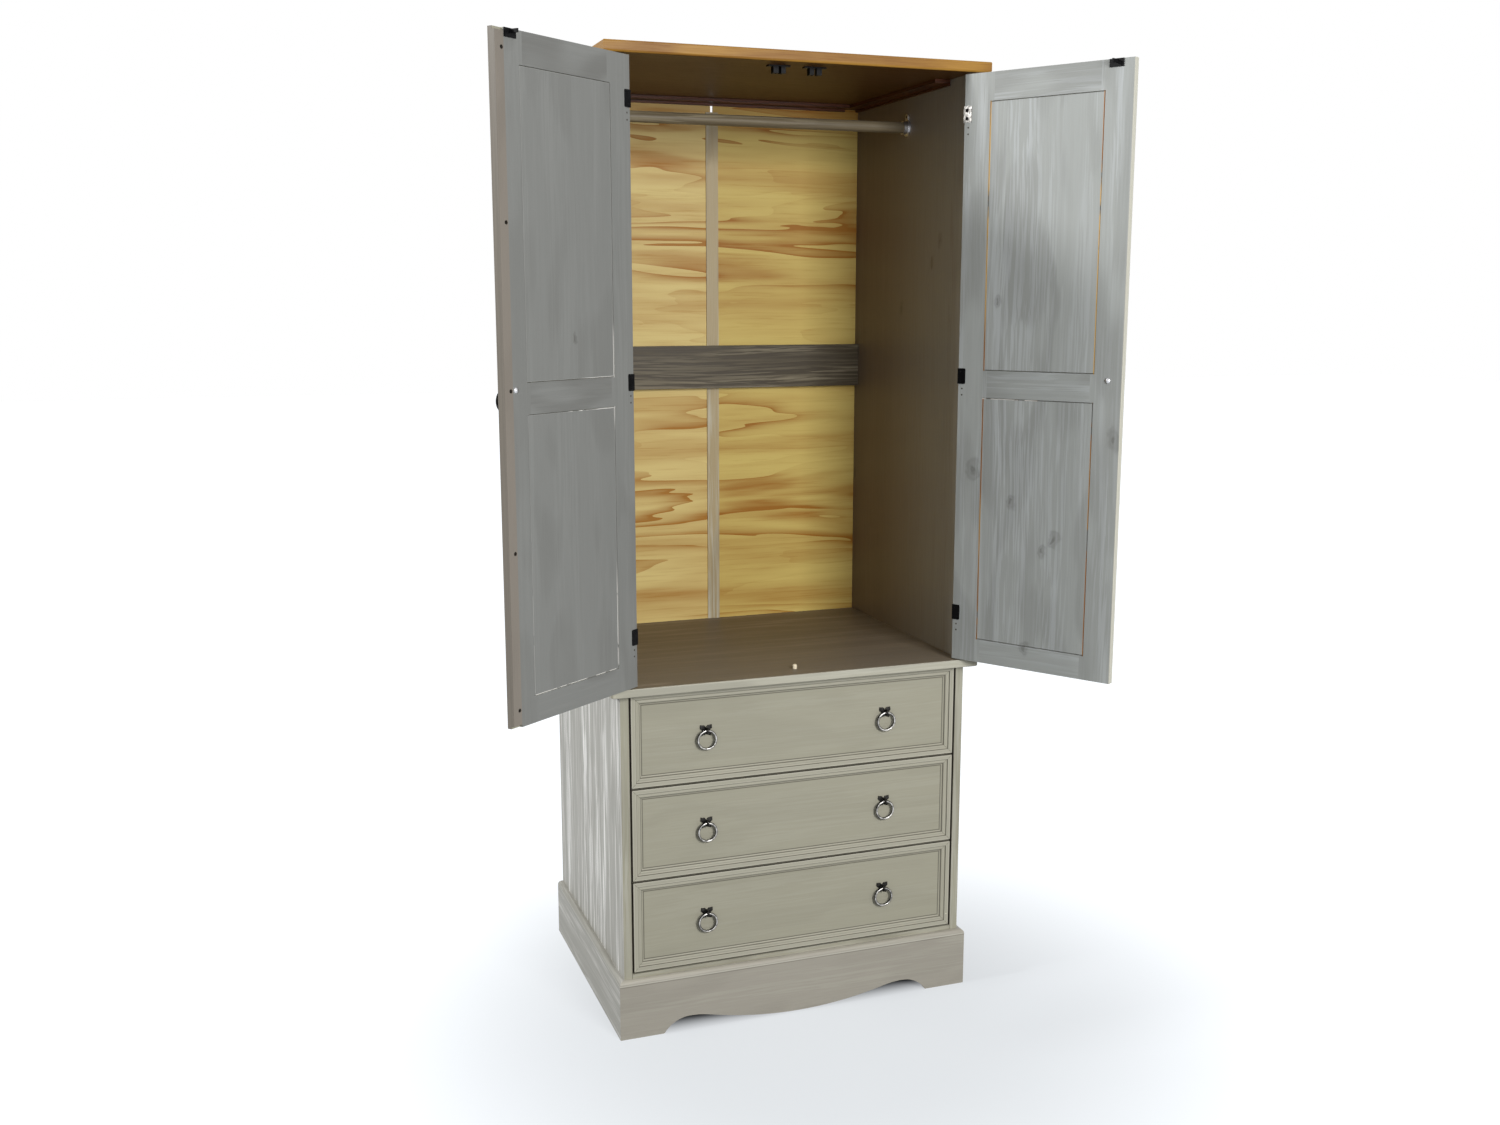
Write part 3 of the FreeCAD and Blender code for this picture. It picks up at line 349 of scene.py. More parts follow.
@shared_group("Washed paint", "Seed Knots Streaks Figure Dark Wear", "Paint Wash Glaze Speck Bare")
def washed_paint(nodes, given):
    """Thin paint brushed over pine, streaked by the grain under it, darkened by one mask that carries knots
    and painted shade, and lightened by another that carries rubbed paint, painted highlight and painted
    light.
    """
    grain = nodes.group(pine_grain(), vector=given["Vector"], seed=given["Seed"], knots=given["Knots"])
    moved = nodes.vector("ADD", given["Vector"], nodes.scaled((1.3, 2.9, 3.7), given["Seed"]))
    broad = nodes.rise(nodes.noise(moved, (14.0, 14.0, 2.0), 3.0, 0.6)[0], 0.38, 0.64)
    bands = nodes.noise(moved, (38.0, 38.0, 1.3), 2.0, 0.6)[0]
    dense = nodes.times(nodes.rise(bands, 0.42, 0.58, 0.2, 1.0), nodes.between(broad, 0.55, 1.0))
    streak = nodes.times(nodes.rise(grain["Streak"], 0.44, 0.56), dense)
    coat = nodes.blend(nodes.times(streak, given["Streaks"]), given["Paint"], given["Wash"])
    dim = nodes.blend(0.4, coat, given["Glaze"])
    ringed = nodes.times(grain["Figure"], given["Figure"])
    shade = nodes.times(ringed, nodes.between(broad, 1.0, 0.7))
    shade = nodes.times_plus(nodes.rise(grain["Fibre"], 0.45, 0.75), 0.12, shade)
    shade = nodes.most(shade, nodes.times(grain["Knot"], 0.8))
    coat = nodes.blend(shade, coat, dim)
    away, picked = nodes.cells(moved, 10.0)
    speck = nodes.times(nodes.fall(away, 0.008, 0.014), nodes.calc("LESS_THAN", picked, 0.14))
    coat = nodes.blend(speck, coat, given["Speck"])
    # The dark mask carries knots and other marks, and painted shade in creases, gaps and under boards
    coat = nodes.blend(given["Dark"], coat, given["Glaze"])
    height = nodes.times_plus(grain["Figure"], -0.25, nodes.plus(grain["Fibre"], grain["Streak"]))
    # The worn mask carries rubbed paint, painted highlight on ridges and painted light in some joints
    return {"Color": nodes.blend(given["Wear"], coat, given["Bare"]),
            "Roughness": nodes.times_plus(grain["Streak"], 0.3, 0.3),
            "Height": nodes.times_plus(grain["Knot"], -0.4, height)}


@shared_group("Bare pine", "Seed Knots", "Pale Deep")
def bare_pine(nodes, given):
    """Pine that shows its growth rings, fibre and knots."""
    grain = nodes.group(pine_grain(), vector=given["Vector"], seed=given["Seed"], knots=given["Knots"])
    shade = nodes.times_plus(nodes.rise(grain["Fibre"], 0.4, 0.75), 0.4, nodes.times(grain["Figure"], 0.55))
    shade = nodes.most(shade, grain["Knot"])
    return {"Color": nodes.blend(shade, given["Pale"], given["Deep"]),
            "Roughness": nodes.times_plus(grain["Fibre"], 0.25, 0.32),
            "Height": nodes.times_plus(grain["Figure"], 0.3, grain["Fibre"])}


@shared_group("Rotary veneer", "Seed", "Pale Deep")
def rotary_veneer(nodes, given):
    """Peeled veneer with long flames along Z, sharp on one side and faded on the other."""
    moved = nodes.vector("ADD", given["Vector"], nodes.scaled((3.1, 1.7, 2.3), given["Seed"]))
    hills = nodes.noise(moved, (10.0, 10.0, 1.1), 3.0, 0.5, 0.4)[0]
    level = nodes.calc("FRACT", nodes.times(hills, 8.0))
    flame = nodes.calc("POWER", nodes.fall(level, 0.0, 1.0), 1.6)
    edge = nodes.rise(level, 0.0, 0.16, 0.35, 0.0)
    patch = nodes.rise(nodes.noise(moved, (9.0, 9.0, 1.6))[0], 0.42, 0.62)
    band = nodes.rise(nodes.noise(moved, (17.0, 17.0, 1.2), 3.0)[0], 0.36, 0.68)
    fibre = nodes.noise(moved, (300.0, 300.0, 9.0), 3.0, 0.6)[0]
    shade = nodes.times(nodes.plus(flame, edge), nodes.between(patch, 0.1, 0.7))
    shade = nodes.times_plus(band, 0.45, shade)
    shade = nodes.times_plus(nodes.rise(fibre, 0.5, 0.75), 0.2, shade)
    return {"Color": nodes.blend(shade, given["Pale"], given["Deep"]),
            "Roughness": nodes.times_plus(fibre, 0.2, 0.38), "Height": fibre}


@shared_group("Rubbed metal", "Scale Rubbed", "Skin Bright")
def rubbed_metal(nodes, given):
    """Metal with a dark skin, bright where a mask says: rubbed away by handling, with a painted highlight on
    the rings and a painted reflection on one hinge leaf.
    """
    cloud = nodes.noise(given["Vector"], given["Scale"], 4.0, 0.6)[0]
    fine = nodes.noise(nodes.scaled(given["Vector"], 6.0), given["Scale"], 3.0, 0.6)[0]
    mask = nodes.times(nodes.rise(cloud, 0.36, 0.64, 0.3, 1.0), given["Rubbed"])
    return {"Color": nodes.blend(mask, given["Skin"], given["Bright"]),
            "Roughness": nodes.times_plus(fine, 0.3, 0.2), "Height": nodes.times_plus(fine, 0.4, cloud)}


@shared_group("Panel line", "Width", vectors="Vector Middle Half",
              outputs=dict.fromkeys(("Upright", "Level"), "Float"))
def panel_line(nodes, given):
    """Masks of the joint beside a panel in the XZ plane, and above and below it."""
    from_middle = nodes.vector("ABSOLUTE", nodes.vector("SUBTRACT", given["Vector"], given["Middle"]))
    x, _, z = nodes.split(nodes.vector("SUBTRACT", from_middle, given["Half"]))
    masks = {}
    for label, across, along, part in (("Upright", x, z, 1.0), ("Level", z, x, 0.8)):
        fade = nodes.times(given["Width"], part)
        line = nodes.fall(nodes.size(across), nodes.times(fade, 0.5), fade)
        masks[label] = nodes.times(line, nodes.calc("LESS_THAN", along, given["Width"]))
    return masks


# Materials

class Finish(Nodes):
    """One material: its nodes, its shader's inputs, and where a point lies on its piece and in the grain."""

    def __init__(self, name, place=UPRIGHT, grain=UPRIGHT):
        self.material = bpy.data.materials.new(name)
        self.material.use_nodes = True
        super().__init__(self.material.node_tree)
        self.shader = next(node for node in self.tree.nodes if node.type == "BSDF_PRINCIPLED").inputs
        at = self.add("ShaderNodeTexCoord", {}).outputs["Object"]
        self.local = at if place == UPRIGHT else self.turned(at, place)
        self.grain = self.local if grain == UPRIGHT else self.turned(self.local, grain)

    def set(self, **inputs):
        """Sets or joins inputs of the shader, in which an underscore stands for a space."""
        for label, value in inputs.items():
            self.put(self.shader[label.replace("_", " ")], value)
        return self.material

    def dress(self, look, bump, depth, **inputs):
        """Joins a group's colour, roughness and height to the shader, and sets other inputs."""
        height = {"Strength": bump, "Distance": depth, "Height": look["Height"]}
        raised = self.add("ShaderNodeBump", height).outputs[0]
        return self.set(Base_Color=look["Color"], Roughness=look["Roughness"], Normal=raised, **inputs)


def cover(material, *names):
    """Gives CAD nodes a material."""
    for name in names:
        slots = NODES[name].material_slots
        if not slots:
            raise RuntimeError(name + " has no material slot")
        for slot in slots:
            slot.material = material


def paint(finish, base, wash, seed, streaks=0.5, figure=0.2, knots=0.03, dark=0.0, wear=0.0, bare=None):
    """Washed paint on a finish, with colours as sockets or four numbers."""
    colours = bpy.context.scene.chifforobe_paint
    look = finish.group(washed_paint(), vector=finish.grain, seed=seed, knots=knots, paint=base, wash=wash,
                        streaks=streaks, figure=figure, glaze=colours.glaze, speck=colours.speck, dark=dark,
                        wear=wear, bare=bare or base)
    return finish.dress(look, bump=0.25, depth=0.6 * MM, Specular_IOR_Level=0.22)


def specks(finish, places, radius):
    """Mask of small round marks at places in the XZ plane."""
    flat = finish.vector("MULTIPLY", finish.local, (1, 0, 1))
    mask = 0.0
    for x, z in places:
        mask = finish.most(mask, finish.fall(finish.distance(flat, (x, 0, z)), 0.7 * radius, radius))
    return mask


def two_paints(finish, mask, first, second):
    """Paint and wash colours of two faces, chosen by a mask."""
    return [finish.blend(mask, a, b) for a, b in zip(first, second)]


def knot_marks(finish, places, across=Vector((1, 0, 0))):
    """Mask of small ringed knots at places along an axis, height and radius in millimetres."""
    wobble = finish.vector("SUBTRACT", finish.noise(finish.local, 42.0)[1], (0.5, 0.5, 0.5))
    bent = finish.vector("ADD", finish.local, finish.scaled(wobble, 30 * MM))
    mask = 0.0
    for along, height, radius in places:
        offset = finish.vector("SUBTRACT", bent, across * along * MM + Vector((0, 0, height * MM)))
        squat = finish.vector("MULTIPLY", offset, (across + Vector((0, 0, 0.6))) / (radius * MM))
        away = finish.distance(squat)
        ringed = finish.times_plus(finish.calc("SINE", finish.times(away, 8.0)), 0.22, 0.7)
        mask = finish.most(mask, finish.times(finish.fall(away, 0.2, 1.6), ringed))
    return mask


# Case

# How far in from the front the inside is painted lighter, as painted light near the opening
PAINTED_LIGHT_REACH = 420 * MM
# Knots of the upper right side by y, height and radius in millimetres
WALL_KNOTS = (-414, 1524, 9), (-244, 1394, 8)
# Depth in from the returns' outer faces, just past their thickness, where the rear rail's grain begins
RETURN_REACH = 13 * MM
# Lines of the plinth by their depth below its top: rubbed paint with a painted highlight along the ridge, and
# painted shade in the crease
PLINTH_RIDGE = 8 * MM
PLINTH_CREASE = 10.5 * MM


def paint_sides(colours):
    """Outer faces are streaked white along the grain; inner faces are plain, painted lighter towards the
    front as painted light, and painted dark beside the drawers as painted shade.
    """
    inner_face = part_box("upper_right_side")[0].x
    seeds = {"upper_left_side": 0.3, "upper_right_side": 1.1, "lower_left_side": 2.7, "lower_right_side": 3.9}
    for name, seed in seeds.items():
        finish = Finish(name + "_paint")
        x, y, _ = finish.split(finish.local)
        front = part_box(name)[0].y
        outer = finish.rise(finish.size(x), inner_face + 0.5 * MM, inner_face + 1.5 * MM)
        edge = finish.fall(y, front + 0.4 * MM, front + 1.2 * MM)
        base, wash = two_paints(finish, outer, (colours.inside, colours.inside_wash),
                                (colours.side, colours.side_wash))
        # Painted light: the inner faces turn paler towards the front edge
        painted_light = finish.times(finish.fall(y, front, front + PAINTED_LIGHT_REACH), finish.minus(1.0, outer))
        base = finish.blend(painted_light, base, colours.inside_painted_light)
        base, wash = two_paints(finish, edge, (base, wash), (colours.front, colours.front_wash))
        # Painted shade: the lower sides' inner faces are dark so that the gaps beside the drawers read dark
        dark = finish.between(outer, 0.8, 0.0) if name.startswith("lower") else 0.0
        if name == "upper_right_side":
            knots = knot_marks(finish, WALL_KNOTS, Vector((0, 1, 0)))
            dark = finish.times(knots, finish.between(outer, 0.35, 0.0))
        streaks, figure = finish.between(outer, 0.3, 0.95), finish.between(outer, 0.15, 0.35)
        cover(paint(finish, base, wash, seed, streaks, figure, 0.05, dark), name)


def paint_waist(colours):
    """Brown-taupe on top and lighter towards the front as painted light, pale on the edges, and dark
    underneath as painted shade.
    """
    finish = Finish("waist_paint", grain=SIDEWAYS)
    x, y, z = finish.split(finish.local)
    low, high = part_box("waist_board")
    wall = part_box("upper_right_side")[0].x
    top = finish.times(finish.rise(z, high.z - 0.4 * MM, high.z - 0.1 * MM),
                       finish.fall(finish.size(x), wall, wall + 2 * MM))
    base, wash = two_paints(finish, top, (colours.front, colours.front_wash),
                            (colours.waist, colours.inside_wash))
    # Painted light: the top turns paler towards the front edge
    painted_light = finish.times(finish.fall(y, low.y, low.y + PAINTED_LIGHT_REACH), top)
    base = finish.blend(painted_light, base, colours.waist_painted_light)
    # Painted shade: the underside is dark so that the gap over the top drawer reads dark
    below = finish.rise(z, low.z + 0.2 * MM, low.z + 0.5 * MM, 0.8, 0.0)
    front = finish.rise(y, low.y + 1.5 * MM, low.y + 4 * MM, 0.35, 0.0)
    cover(paint(finish, base, wash, 5.2, 0.8, 0.7, dark=below, wear=front, bare=colours.rubbed),
          "waist_board")


def paint_plinth(colours):
    """Plinth boards with bare sawn edges underneath, a rubbed upper edge with a painted highlight, and
    painted shade in the crease under it.
    """
    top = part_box("plinth_front")[1].z
    boards = (("plinth_front", SIDEWAYS, 6.4, colours.plinth, colours.front_wash, 0.35),
              ("plinth_returns", DEEP, 7.1, colours.side, colours.side_wash, 0.45))
    for name, grain, seed, tint, wash, streaks in boards:
        finish = Finish(name + "_paint", grain=grain)
        x, _, z = finish.split(finish.local)
        if name == "plinth_returns":
            rear = finish.calc("LESS_THAN", finish.size(x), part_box(name)[1].x - RETURN_REACH)
            finish.grain = finish.either(rear, finish.grain, finish.turned(finish.local, SIDEWAYS))
        facing = finish.split(finish.add("ShaderNodeNewGeometry", {}).outputs["Normal"])[2]
        sawn = finish.fall(facing, -0.6, -0.3)
        # Painted highlight along the ridge, on top of rubbed paint
        ridge = finish.line(z, top - PLINTH_RIDGE, 1.4 * MM)
        bare = finish.blend(sawn, colours.rubbed, colours.raw_edge)
        wear = finish.most(sawn, finish.times(ridge, 0.8))
        # Painted shade in the crease under the ridge
        dark = finish.times(finish.line(z, top - PLINTH_CREASE, 1.2 * MM), 0.4)
        cover(paint(finish, tint, wash, seed, streaks, dark=dark, wear=wear, bare=bare), name)


class CHIFFOROBE_OT_paint_case(bpy.types.Operator):
    """Paint the sides, waist board, plinth and rails of the case"""
    bl_idname = "chifforobe.paint_case"
    bl_label = "Paint Case"

    def execute(self, context):
        colours = context.scene.chifforobe_paint
        paint_sides(colours)
        paint_waist(colours)
        paint_plinth(colours)
        plain = (("back_joint_strip", colours.strip, colours.rubbed, UPRIGHT, 8.3),
                 ("back_rail", colours.back_rail, colours.back_rail_wash, SIDEWAYS, 9.7),
                 ("base_rail", colours.front, colours.front_wash, SIDEWAYS, 10.4),
                 ("hanging_rail", colours.rail, colours.back_rail_wash, SIDEWAYS, 11.2))
        for name, tint, wash, grain, seed in plain:
            finish = Finish(name + "_paint", grain=grain)
            cover(paint(finish, tint, wash, seed, 0.6, 0.5, knots=0.0), name)
        return {"FINISHED"}


WOOD_SPECULAR = 0.2


def pine(finish, pale, deep, seed, knots=0.0, bump=0.2):
    """Bare pine in two colours on a finish."""
    look = finish.group(bare_pine(), vector=finish.grain, seed=seed, knots=knots, pale=pale, deep=deep)
    return finish.dress(look, bump, depth=0.5 * MM, Specular_IOR_Level=WOOD_SPECULAR)


def plywood(wood):
    """Veneer of the back, painted darker on the upper right sheet as painted shade."""
    finish = Finish("plywood", grain=SIDEWAYS)
    x, _, z = finish.split(finish.local)
    low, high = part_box("back_joint_strip")
    # Painted shade: the upper right sheet takes the darker colours
    right = finish.times(finish.calc("GREATER_THAN", x, (low.x + high.x) / 2),
                         finish.calc("GREATER_THAN", z, low.z - 5 * MM))
    pale, deep = two_paints(finish, right, (wood.ply, wood.ply_dark), (wood.ply_painted_shade, wood.ply_flame_painted_shade))
    look = finish.group(rotary_veneer(), vector=finish.grain, seed=14.5, pale=pale, deep=deep)
    return finish.dress(look, bump=0.12, depth=0.4 * MM, Specular_IOR_Level=WOOD_SPECULAR)


class CHIFFOROBE_OT_finish_wood(bpy.types.Operator):
    """Wax the top, stain its cleats and finish the plywood back and the bare pine"""
    bl_idname = "chifforobe.finish_wood"
    bl_label = "Finish Wood"

    def execute(self, context):
        wood = context.scene.chifforobe_wood
        finish = Finish("waxed_pine", grain=SIDEWAYS)
        _, _, z = finish.split(finish.local)
        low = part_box("top_board")[0].z
        under = finish.fall(z, low + 0.2 * MM, low + 0.8 * MM)
        pale, deep = two_paints(finish, under, (wood.wax, wood.wax_dark),
                                (wood.underside, wood.underside_dark))
        cover(pine(finish, pale, deep, 12.6, 0.06, bump=0.15), "top_board")
        cover(pine(Finish("stained_pine", grain=DEEP), wood.cleat, wood.cleat_dark, 13.1), "top_cleats")
        cover(plywood(wood), "back_panels")
        cover(pine(Finish("bare_pine", grain=DEEP), wood.pine, wood.pine_dark, 15.8, 0.04),
              "drawer_runners", *("drawer_%d_box" % number for number in DRAWERS))
        return {"FINISHED"}


# Doors

def closed_place(side):
    """Turn that carries a door from where it stands open to where it shuts."""
    joint = JOINTS[side + "_door_hinge"]
    low, high = joint["range_deg"]
    axis = Matrix.Translation(joint["pos_m"])
    return axis @ Matrix.Rotation(math.radians(high if side == "left" else low), 4, "Z") @ axis.inverted()


def closed_points(side, name):
    """Corners of a door's node with the door shut."""
    turn = closed_place(side)
    return [turn @ vertex.co for vertex in NODES[name].data.vertices]


def closed_box(side, name):
    """Lowest and highest corner of a door's node with the door shut."""
    along_axes = list(zip(*closed_points(side, name)))
    return Vector([min(along) for along in along_axes]), Vector([max(along) for along in along_axes])


def door_panels_apart(side):
    """Middle and half size of the lower and upper panel of a shut door."""
    name = side + "_door_panels"
    low, high = closed_box(side, name)
    heights = sorted({round(point.z, 4) for point in closed_points(side, name)})
    found = []
    for bottom, top in (heights[:2], heights[-2:]):
        middle = Vector(((low.x + high.x) / 2, low.y, (bottom + top) / 2))
        found.append((middle, Vector(((high.x - low.x) / 2, 1.0, (top - bottom) / 2))))
    return found


def bottoms(name):
    """Heights of the lower ends of like pieces in one node, one above another."""
    heights = sorted(vertex.co.z for vertex in NODES[name].data.vertices)
    return [high for low, high in zip([0.0] + heights, heights) if high - low > 100 * MM]


# Knots of the doors by x with the doors shut, height and radius in millimetres
DOOR_KNOTS = {
    "left": ((-180, 1350, 5),),
    "right": ((10, 1159, 12), (217, 1029, 9), (303, 1086, 12), (259, 1406, 7), (146, 938, 8), (126, 962, 9),
              (180, 745, 8)),
}
JOINT_WIDTH = {"left": 1.6 * MM, "right": 1.5 * MM}
# Old pilot holes beside the hinges, drawn as dark dots of painted shade, by inset from the door's edge and
# drop below a leaf
PILOT_INSET = 8 * MM
PILOT_DROPS = 9 * MM, 21 * MM
PILOT_RADIUS = 2 * MM


def joint_wear(finish, side, colours):
    """Bare and dark lines in the panel joints of a door, as masks of both and the bare colour."""
    (middle, half), (upper_middle, upper_half) = panels = door_panels_apart(side)
    lower, upper = [finish.group(panel_line(), vector=finish.local, middle=place, half=reach,
                                 width=JOINT_WIDTH[side]) for place, reach in panels]
    x, _, z = finish.split(finish.local)
    upright = finish.most(lower["Upright"], upper["Upright"])
    level = finish.most(lower["Level"], upper["Level"])
    broken = finish.rise(finish.noise(finish.local, 38.0)[0], 0.41, 0.47)
    to_hinge = finish.times(finish.minus(x, middle.x), -1.0 if side == "left" else 1.0)
    by_hinge = finish.rise(to_hinge, -0.2 * half.x, 0.1 * half.x)
    low_down = finish.fall(z, middle.z - 0.4 * half.z, middle.z - 0.1 * half.z)
    if side == "left":
        across = finish.times(lower["Level"], finish.most(low_down, by_hinge))
        worn = finish.times(low_down, finish.between(by_hinge, 0.2, 0.7))
        dashes = finish.times(finish.most(across, finish.times(lower["Upright"], worn)), broken)
        # Real pale filler near one corner of the upper panel; elsewhere a faint pale line along the joints is
        # painted light over the grooves' shade
        corner = upper_middle - Vector((upper_half.x, 0, upper_half.z))
        near = finish.rise(finish.distance(finish.local, corner), 60 * MM, 100 * MM, 0.7, 0.08)
        filler_and_painted_light = finish.times(finish.most(upright, level), near)
        return finish.most(dashes, filler_and_painted_light), 0.0, colours.pale_line
    high_up = finish.times(by_hinge, finish.minus(1.0, low_down))
    dashes = finish.times(finish.times(lower["Level"], high_up), broken)
    cloud = finish.noise(finish.local, 11.0, 4.0, 0.6)[0]
    raw = finish.times(upright, finish.rise(cloud, 0.34, 0.44))
    fade = finish.rise(finish.noise(finish.local, 3.2, 1.0)[0], 0.42, 0.6)
    bare = finish.blend(fade, colours.raw_line, colours.raw_pale)
    bare = finish.blend(dashes, bare, colours.pale_line)
    return finish.most(raw, dashes), finish.times(finish.most(level, upright), 0.55), bare


def paint_door(side, colours):
    """Inner face in its own paint with bare lines in the panel joints, front like the drawers."""
    left = side == "left"
    low, high = closed_box(side, side + "_door_stiles")
    look = (colours.left_door, colours.left_wash) if left else (colours.right_door, colours.right_wash)
    pilot_x = low.x + PILOT_INSET if left else high.x - PILOT_INSET
    leaves = bottoms(side + "_door_hinge_leaves")
    pilots = [(pilot_x, bottom - drop) for bottom in leaves for drop in PILOT_DROPS]
    faces = {"stiles": (UPRIGHT, high.y - 1.2 * MM), "rails": (SIDEWAYS, high.y - 1.2 * MM),
             "panels": (UPRIGHT, high.y - 3.5 * MM), "beads": (UPRIGHT, high.y + 1 * MM)}
    for count, (name, (grain, limit)) in enumerate(faces.items()):
        node = "%s_door_%s" % (side, name)
        finish = Finish(node + "_paint", closed_place(side), grain)
        x, y, _ = finish.split(finish.local)
        inside = finish.rise(y, limit - 0.4 * MM, limit + 0.4 * MM)
        base, wash = two_paints(finish, inside, (colours.front, colours.front_wash), look)
        wear, dark, bare = joint_wear(finish, side, colours)
        dark = finish.most(dark, finish.times(knot_marks(finish, DOOR_KNOTS[side]), 0.5))
        if name == "stiles":
            # Painted shade: dark dots for the pilot holes, which have no depth
            dark = finish.most(dark, specks(finish, pilots, PILOT_RADIUS))
        if name == "stiles" and left:
            edge = finish.rise(x, high.x - 1.0 * MM, high.x - 0.3 * MM)
            base, wash = two_paints(finish, edge, (base, wash), (colours.free_edge, colours.edge_band))
        elif name == "stiles":
            edge = finish.fall(x, low.x + 0.3 * MM, low.x + 1.0 * MM)
            base = finish.blend(edge, base, colours.rubbed)
        seed = count * 1.7 + (16.2 if left else 24.9)
        streaks = finish.between(inside, 0.3, 0.25 if left else 0.45)
        figure = 0.6 if name == "rails" else 0.25 if left else 0.45
        cover(paint(finish, base, wash, seed, streaks, figure, dark=finish.times(dark, inside),
                    wear=finish.times(wear, inside), bare=bare), node)


def paint_meeting_strip(colours):
    """Strip of the left door, with painted shade round its sunk screws for their holes."""
    finish = Finish("meeting_strip_paint", closed_place("left"))
    x, _, _ = finish.split(finish.local)
    free = closed_box("left", "left_door_meeting_strip")[1].x
    edge = finish.rise(x, free - 0.6 * MM, free - 0.2 * MM)
    base = finish.blend(edge, colours.edge_band, colours.free_edge)
    low, high = closed_box("left", "left_door_strip_screws")
    radius = (high.x - low.x) / 2
    holes = [(low.x + radius, bottom + radius) for bottom in bottoms("left_door_strip_screws")]
    # Painted shade: dark rings round the sunk screws stand for their holes
    dark = specks(finish, holes, radius + 1 * MM)
    cover(paint(finish, base, colours.edge_band, 33.0, 0.3, 0.25, dark=dark),
          "left_door_meeting_strip")


class CHIFFOROBE_OT_paint_doors(bpy.types.Operator):
    """Paint both doors and the meeting strip"""
    bl_idname = "chifforobe.paint_doors"
    bl_label = "Paint Doors"

    def execute(self, context):
        colours = context.scene.chifforobe_paint
        for side in SIDES:
            paint_door(side, colours)
        paint_meeting_strip(colours)
        return {"FINISHED"}


# Drawers

# Lines of a moulding by their distance in from its outer edge: painted shade in the creases, rubbed paint
# with a painted highlight on the ridges
PANEL_EDGE = 22 * MM
MOULDING_CREASES = {9.5 * MM: 1.1 * MM, 18 * MM: 1.3 * MM}
MOULDING_RIDGES = {8.3 * MM: 0.9 * MM, 2 * MM: 1.1 * MM}


def paint_drawer(number, colours):
    """Front with a painted shade line at its moulding, the moulding with painted shade in its creases and a
    painted highlight on its ridges, and both dark at their outer edges as painted shade in the gaps.
    """
    low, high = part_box("drawer_%d_moulding" % number)
    middle, half = (low + high) / 2, (high - low) / 2
    for name, tint in (("front", colours.front), ("moulding", colours.moulding)):
        node = "drawer_%d_%s" % (number, name)
        finish = Finish(node + "_paint", grain=SIDEWAYS)
        _, y, _ = finish.split(finish.local)
        from_middle = finish.vector("ABSOLUTE", finish.vector("SUBTRACT", finish.local, middle))
        from_end, _, from_edge = finish.split(finish.vector("SUBTRACT", half, from_middle))
        depth = finish.calc("MINIMUM", from_end, from_edge)
        # Painted shade where the moulding meets the panel
        dark = finish.line(depth, PANEL_EDGE, 1.8 * MM)
        wear = 0.0
        if name == "moulding":
            upright = finish.calc("LESS_THAN", from_end, from_edge)
            finish.grain = finish.either(upright, finish.grain, finish.local)
            dark = finish.most(dark, finish.line(finish.minus(from_end, from_edge), 0.0, 0.8 * MM))
            # Painted shade in the moulding's creases
            for place, width in MOULDING_CREASES.items():
                dark = finish.most(dark, finish.line(depth, place, width))
            # Rubbed paint with a painted highlight on the moulding's ridges
            for place, width in MOULDING_RIDGES.items():
                wear = finish.most(wear, finish.times(finish.line(depth, place, width), 0.5))
        # Painted shade on the outer edges, so that the gaps between the drawers read dark
        rim = finish.times(finish.fall(depth, 0.3 * MM, 0.9 * MM),
                           finish.fall(y, low.y + 2.5 * MM, low.y + 3.5 * MM))
        dark = finish.most(finish.times(dark, 0.7), rim)
        seed = 35.0 + number * 2.3 + (1.1 if name == "front" else 0.0)
        cover(paint(finish, tint, colours.front_wash, seed, 0.2, 0.12, 0.02, dark, wear, colours.rubbed),
              node)


class CHIFFOROBE_OT_paint_drawers(bpy.types.Operator):
    """Paint the drawer fronts and their mouldings"""
    bl_idname = "chifforobe.paint_drawers"
    bl_label = "Paint Drawers"

    def execute(self, context):
        for number in DRAWERS:
            paint_drawer(number, context.scene.chifforobe_paint)
        return {"FINISHED"}


# Hardware

LACQUER_SPECULAR = 0.06


def metal(finish, skin, bright, rubbed, scale, bump=0.1, **inputs):
    """Metal with a rubbed skin on a finish."""
    look = finish.group(rubbed_metal(), vector=finish.grain, scale=scale, skin=skin, bright=bright,
                        rubbed=rubbed)
    return finish.dress(look, bump, depth=0.3 * MM, **inputs)


def right_leaves(metals):
    """Lacquer of the right door's leaves, with a painted reflection on the upper one: bright metal except
    round its screws.
    """
    finish = Finish("right_leaf_lacquer_and_reflection", closed_place("right"))
    _, _, z = finish.split(finish.local)
    bottom = bottoms("right_door_hinge_leaves")[-1]
    low, high = closed_box("right", "right_door_hinge_leaves")
    screws = [((low.x + high.x) / 2, bottom + part * (high.z - bottom)) for part in (0.25, 0.75)]
    # Painted reflection: the upper leaf is bright metal, standing for a lamp's reflection in its lacquer
    upper = finish.rise(z, bottom - 2 * MM, bottom - 1 * MM)
    worn = finish.most(finish.minus(upper, specks(finish, screws, 4 * MM)), 0.0)
    return metal(finish, metals.black, metals.pewter_worn_and_highlight, worn, 160.0, Metallic=worn,
                 Specular_IOR_Level=LACQUER_SPECULAR)


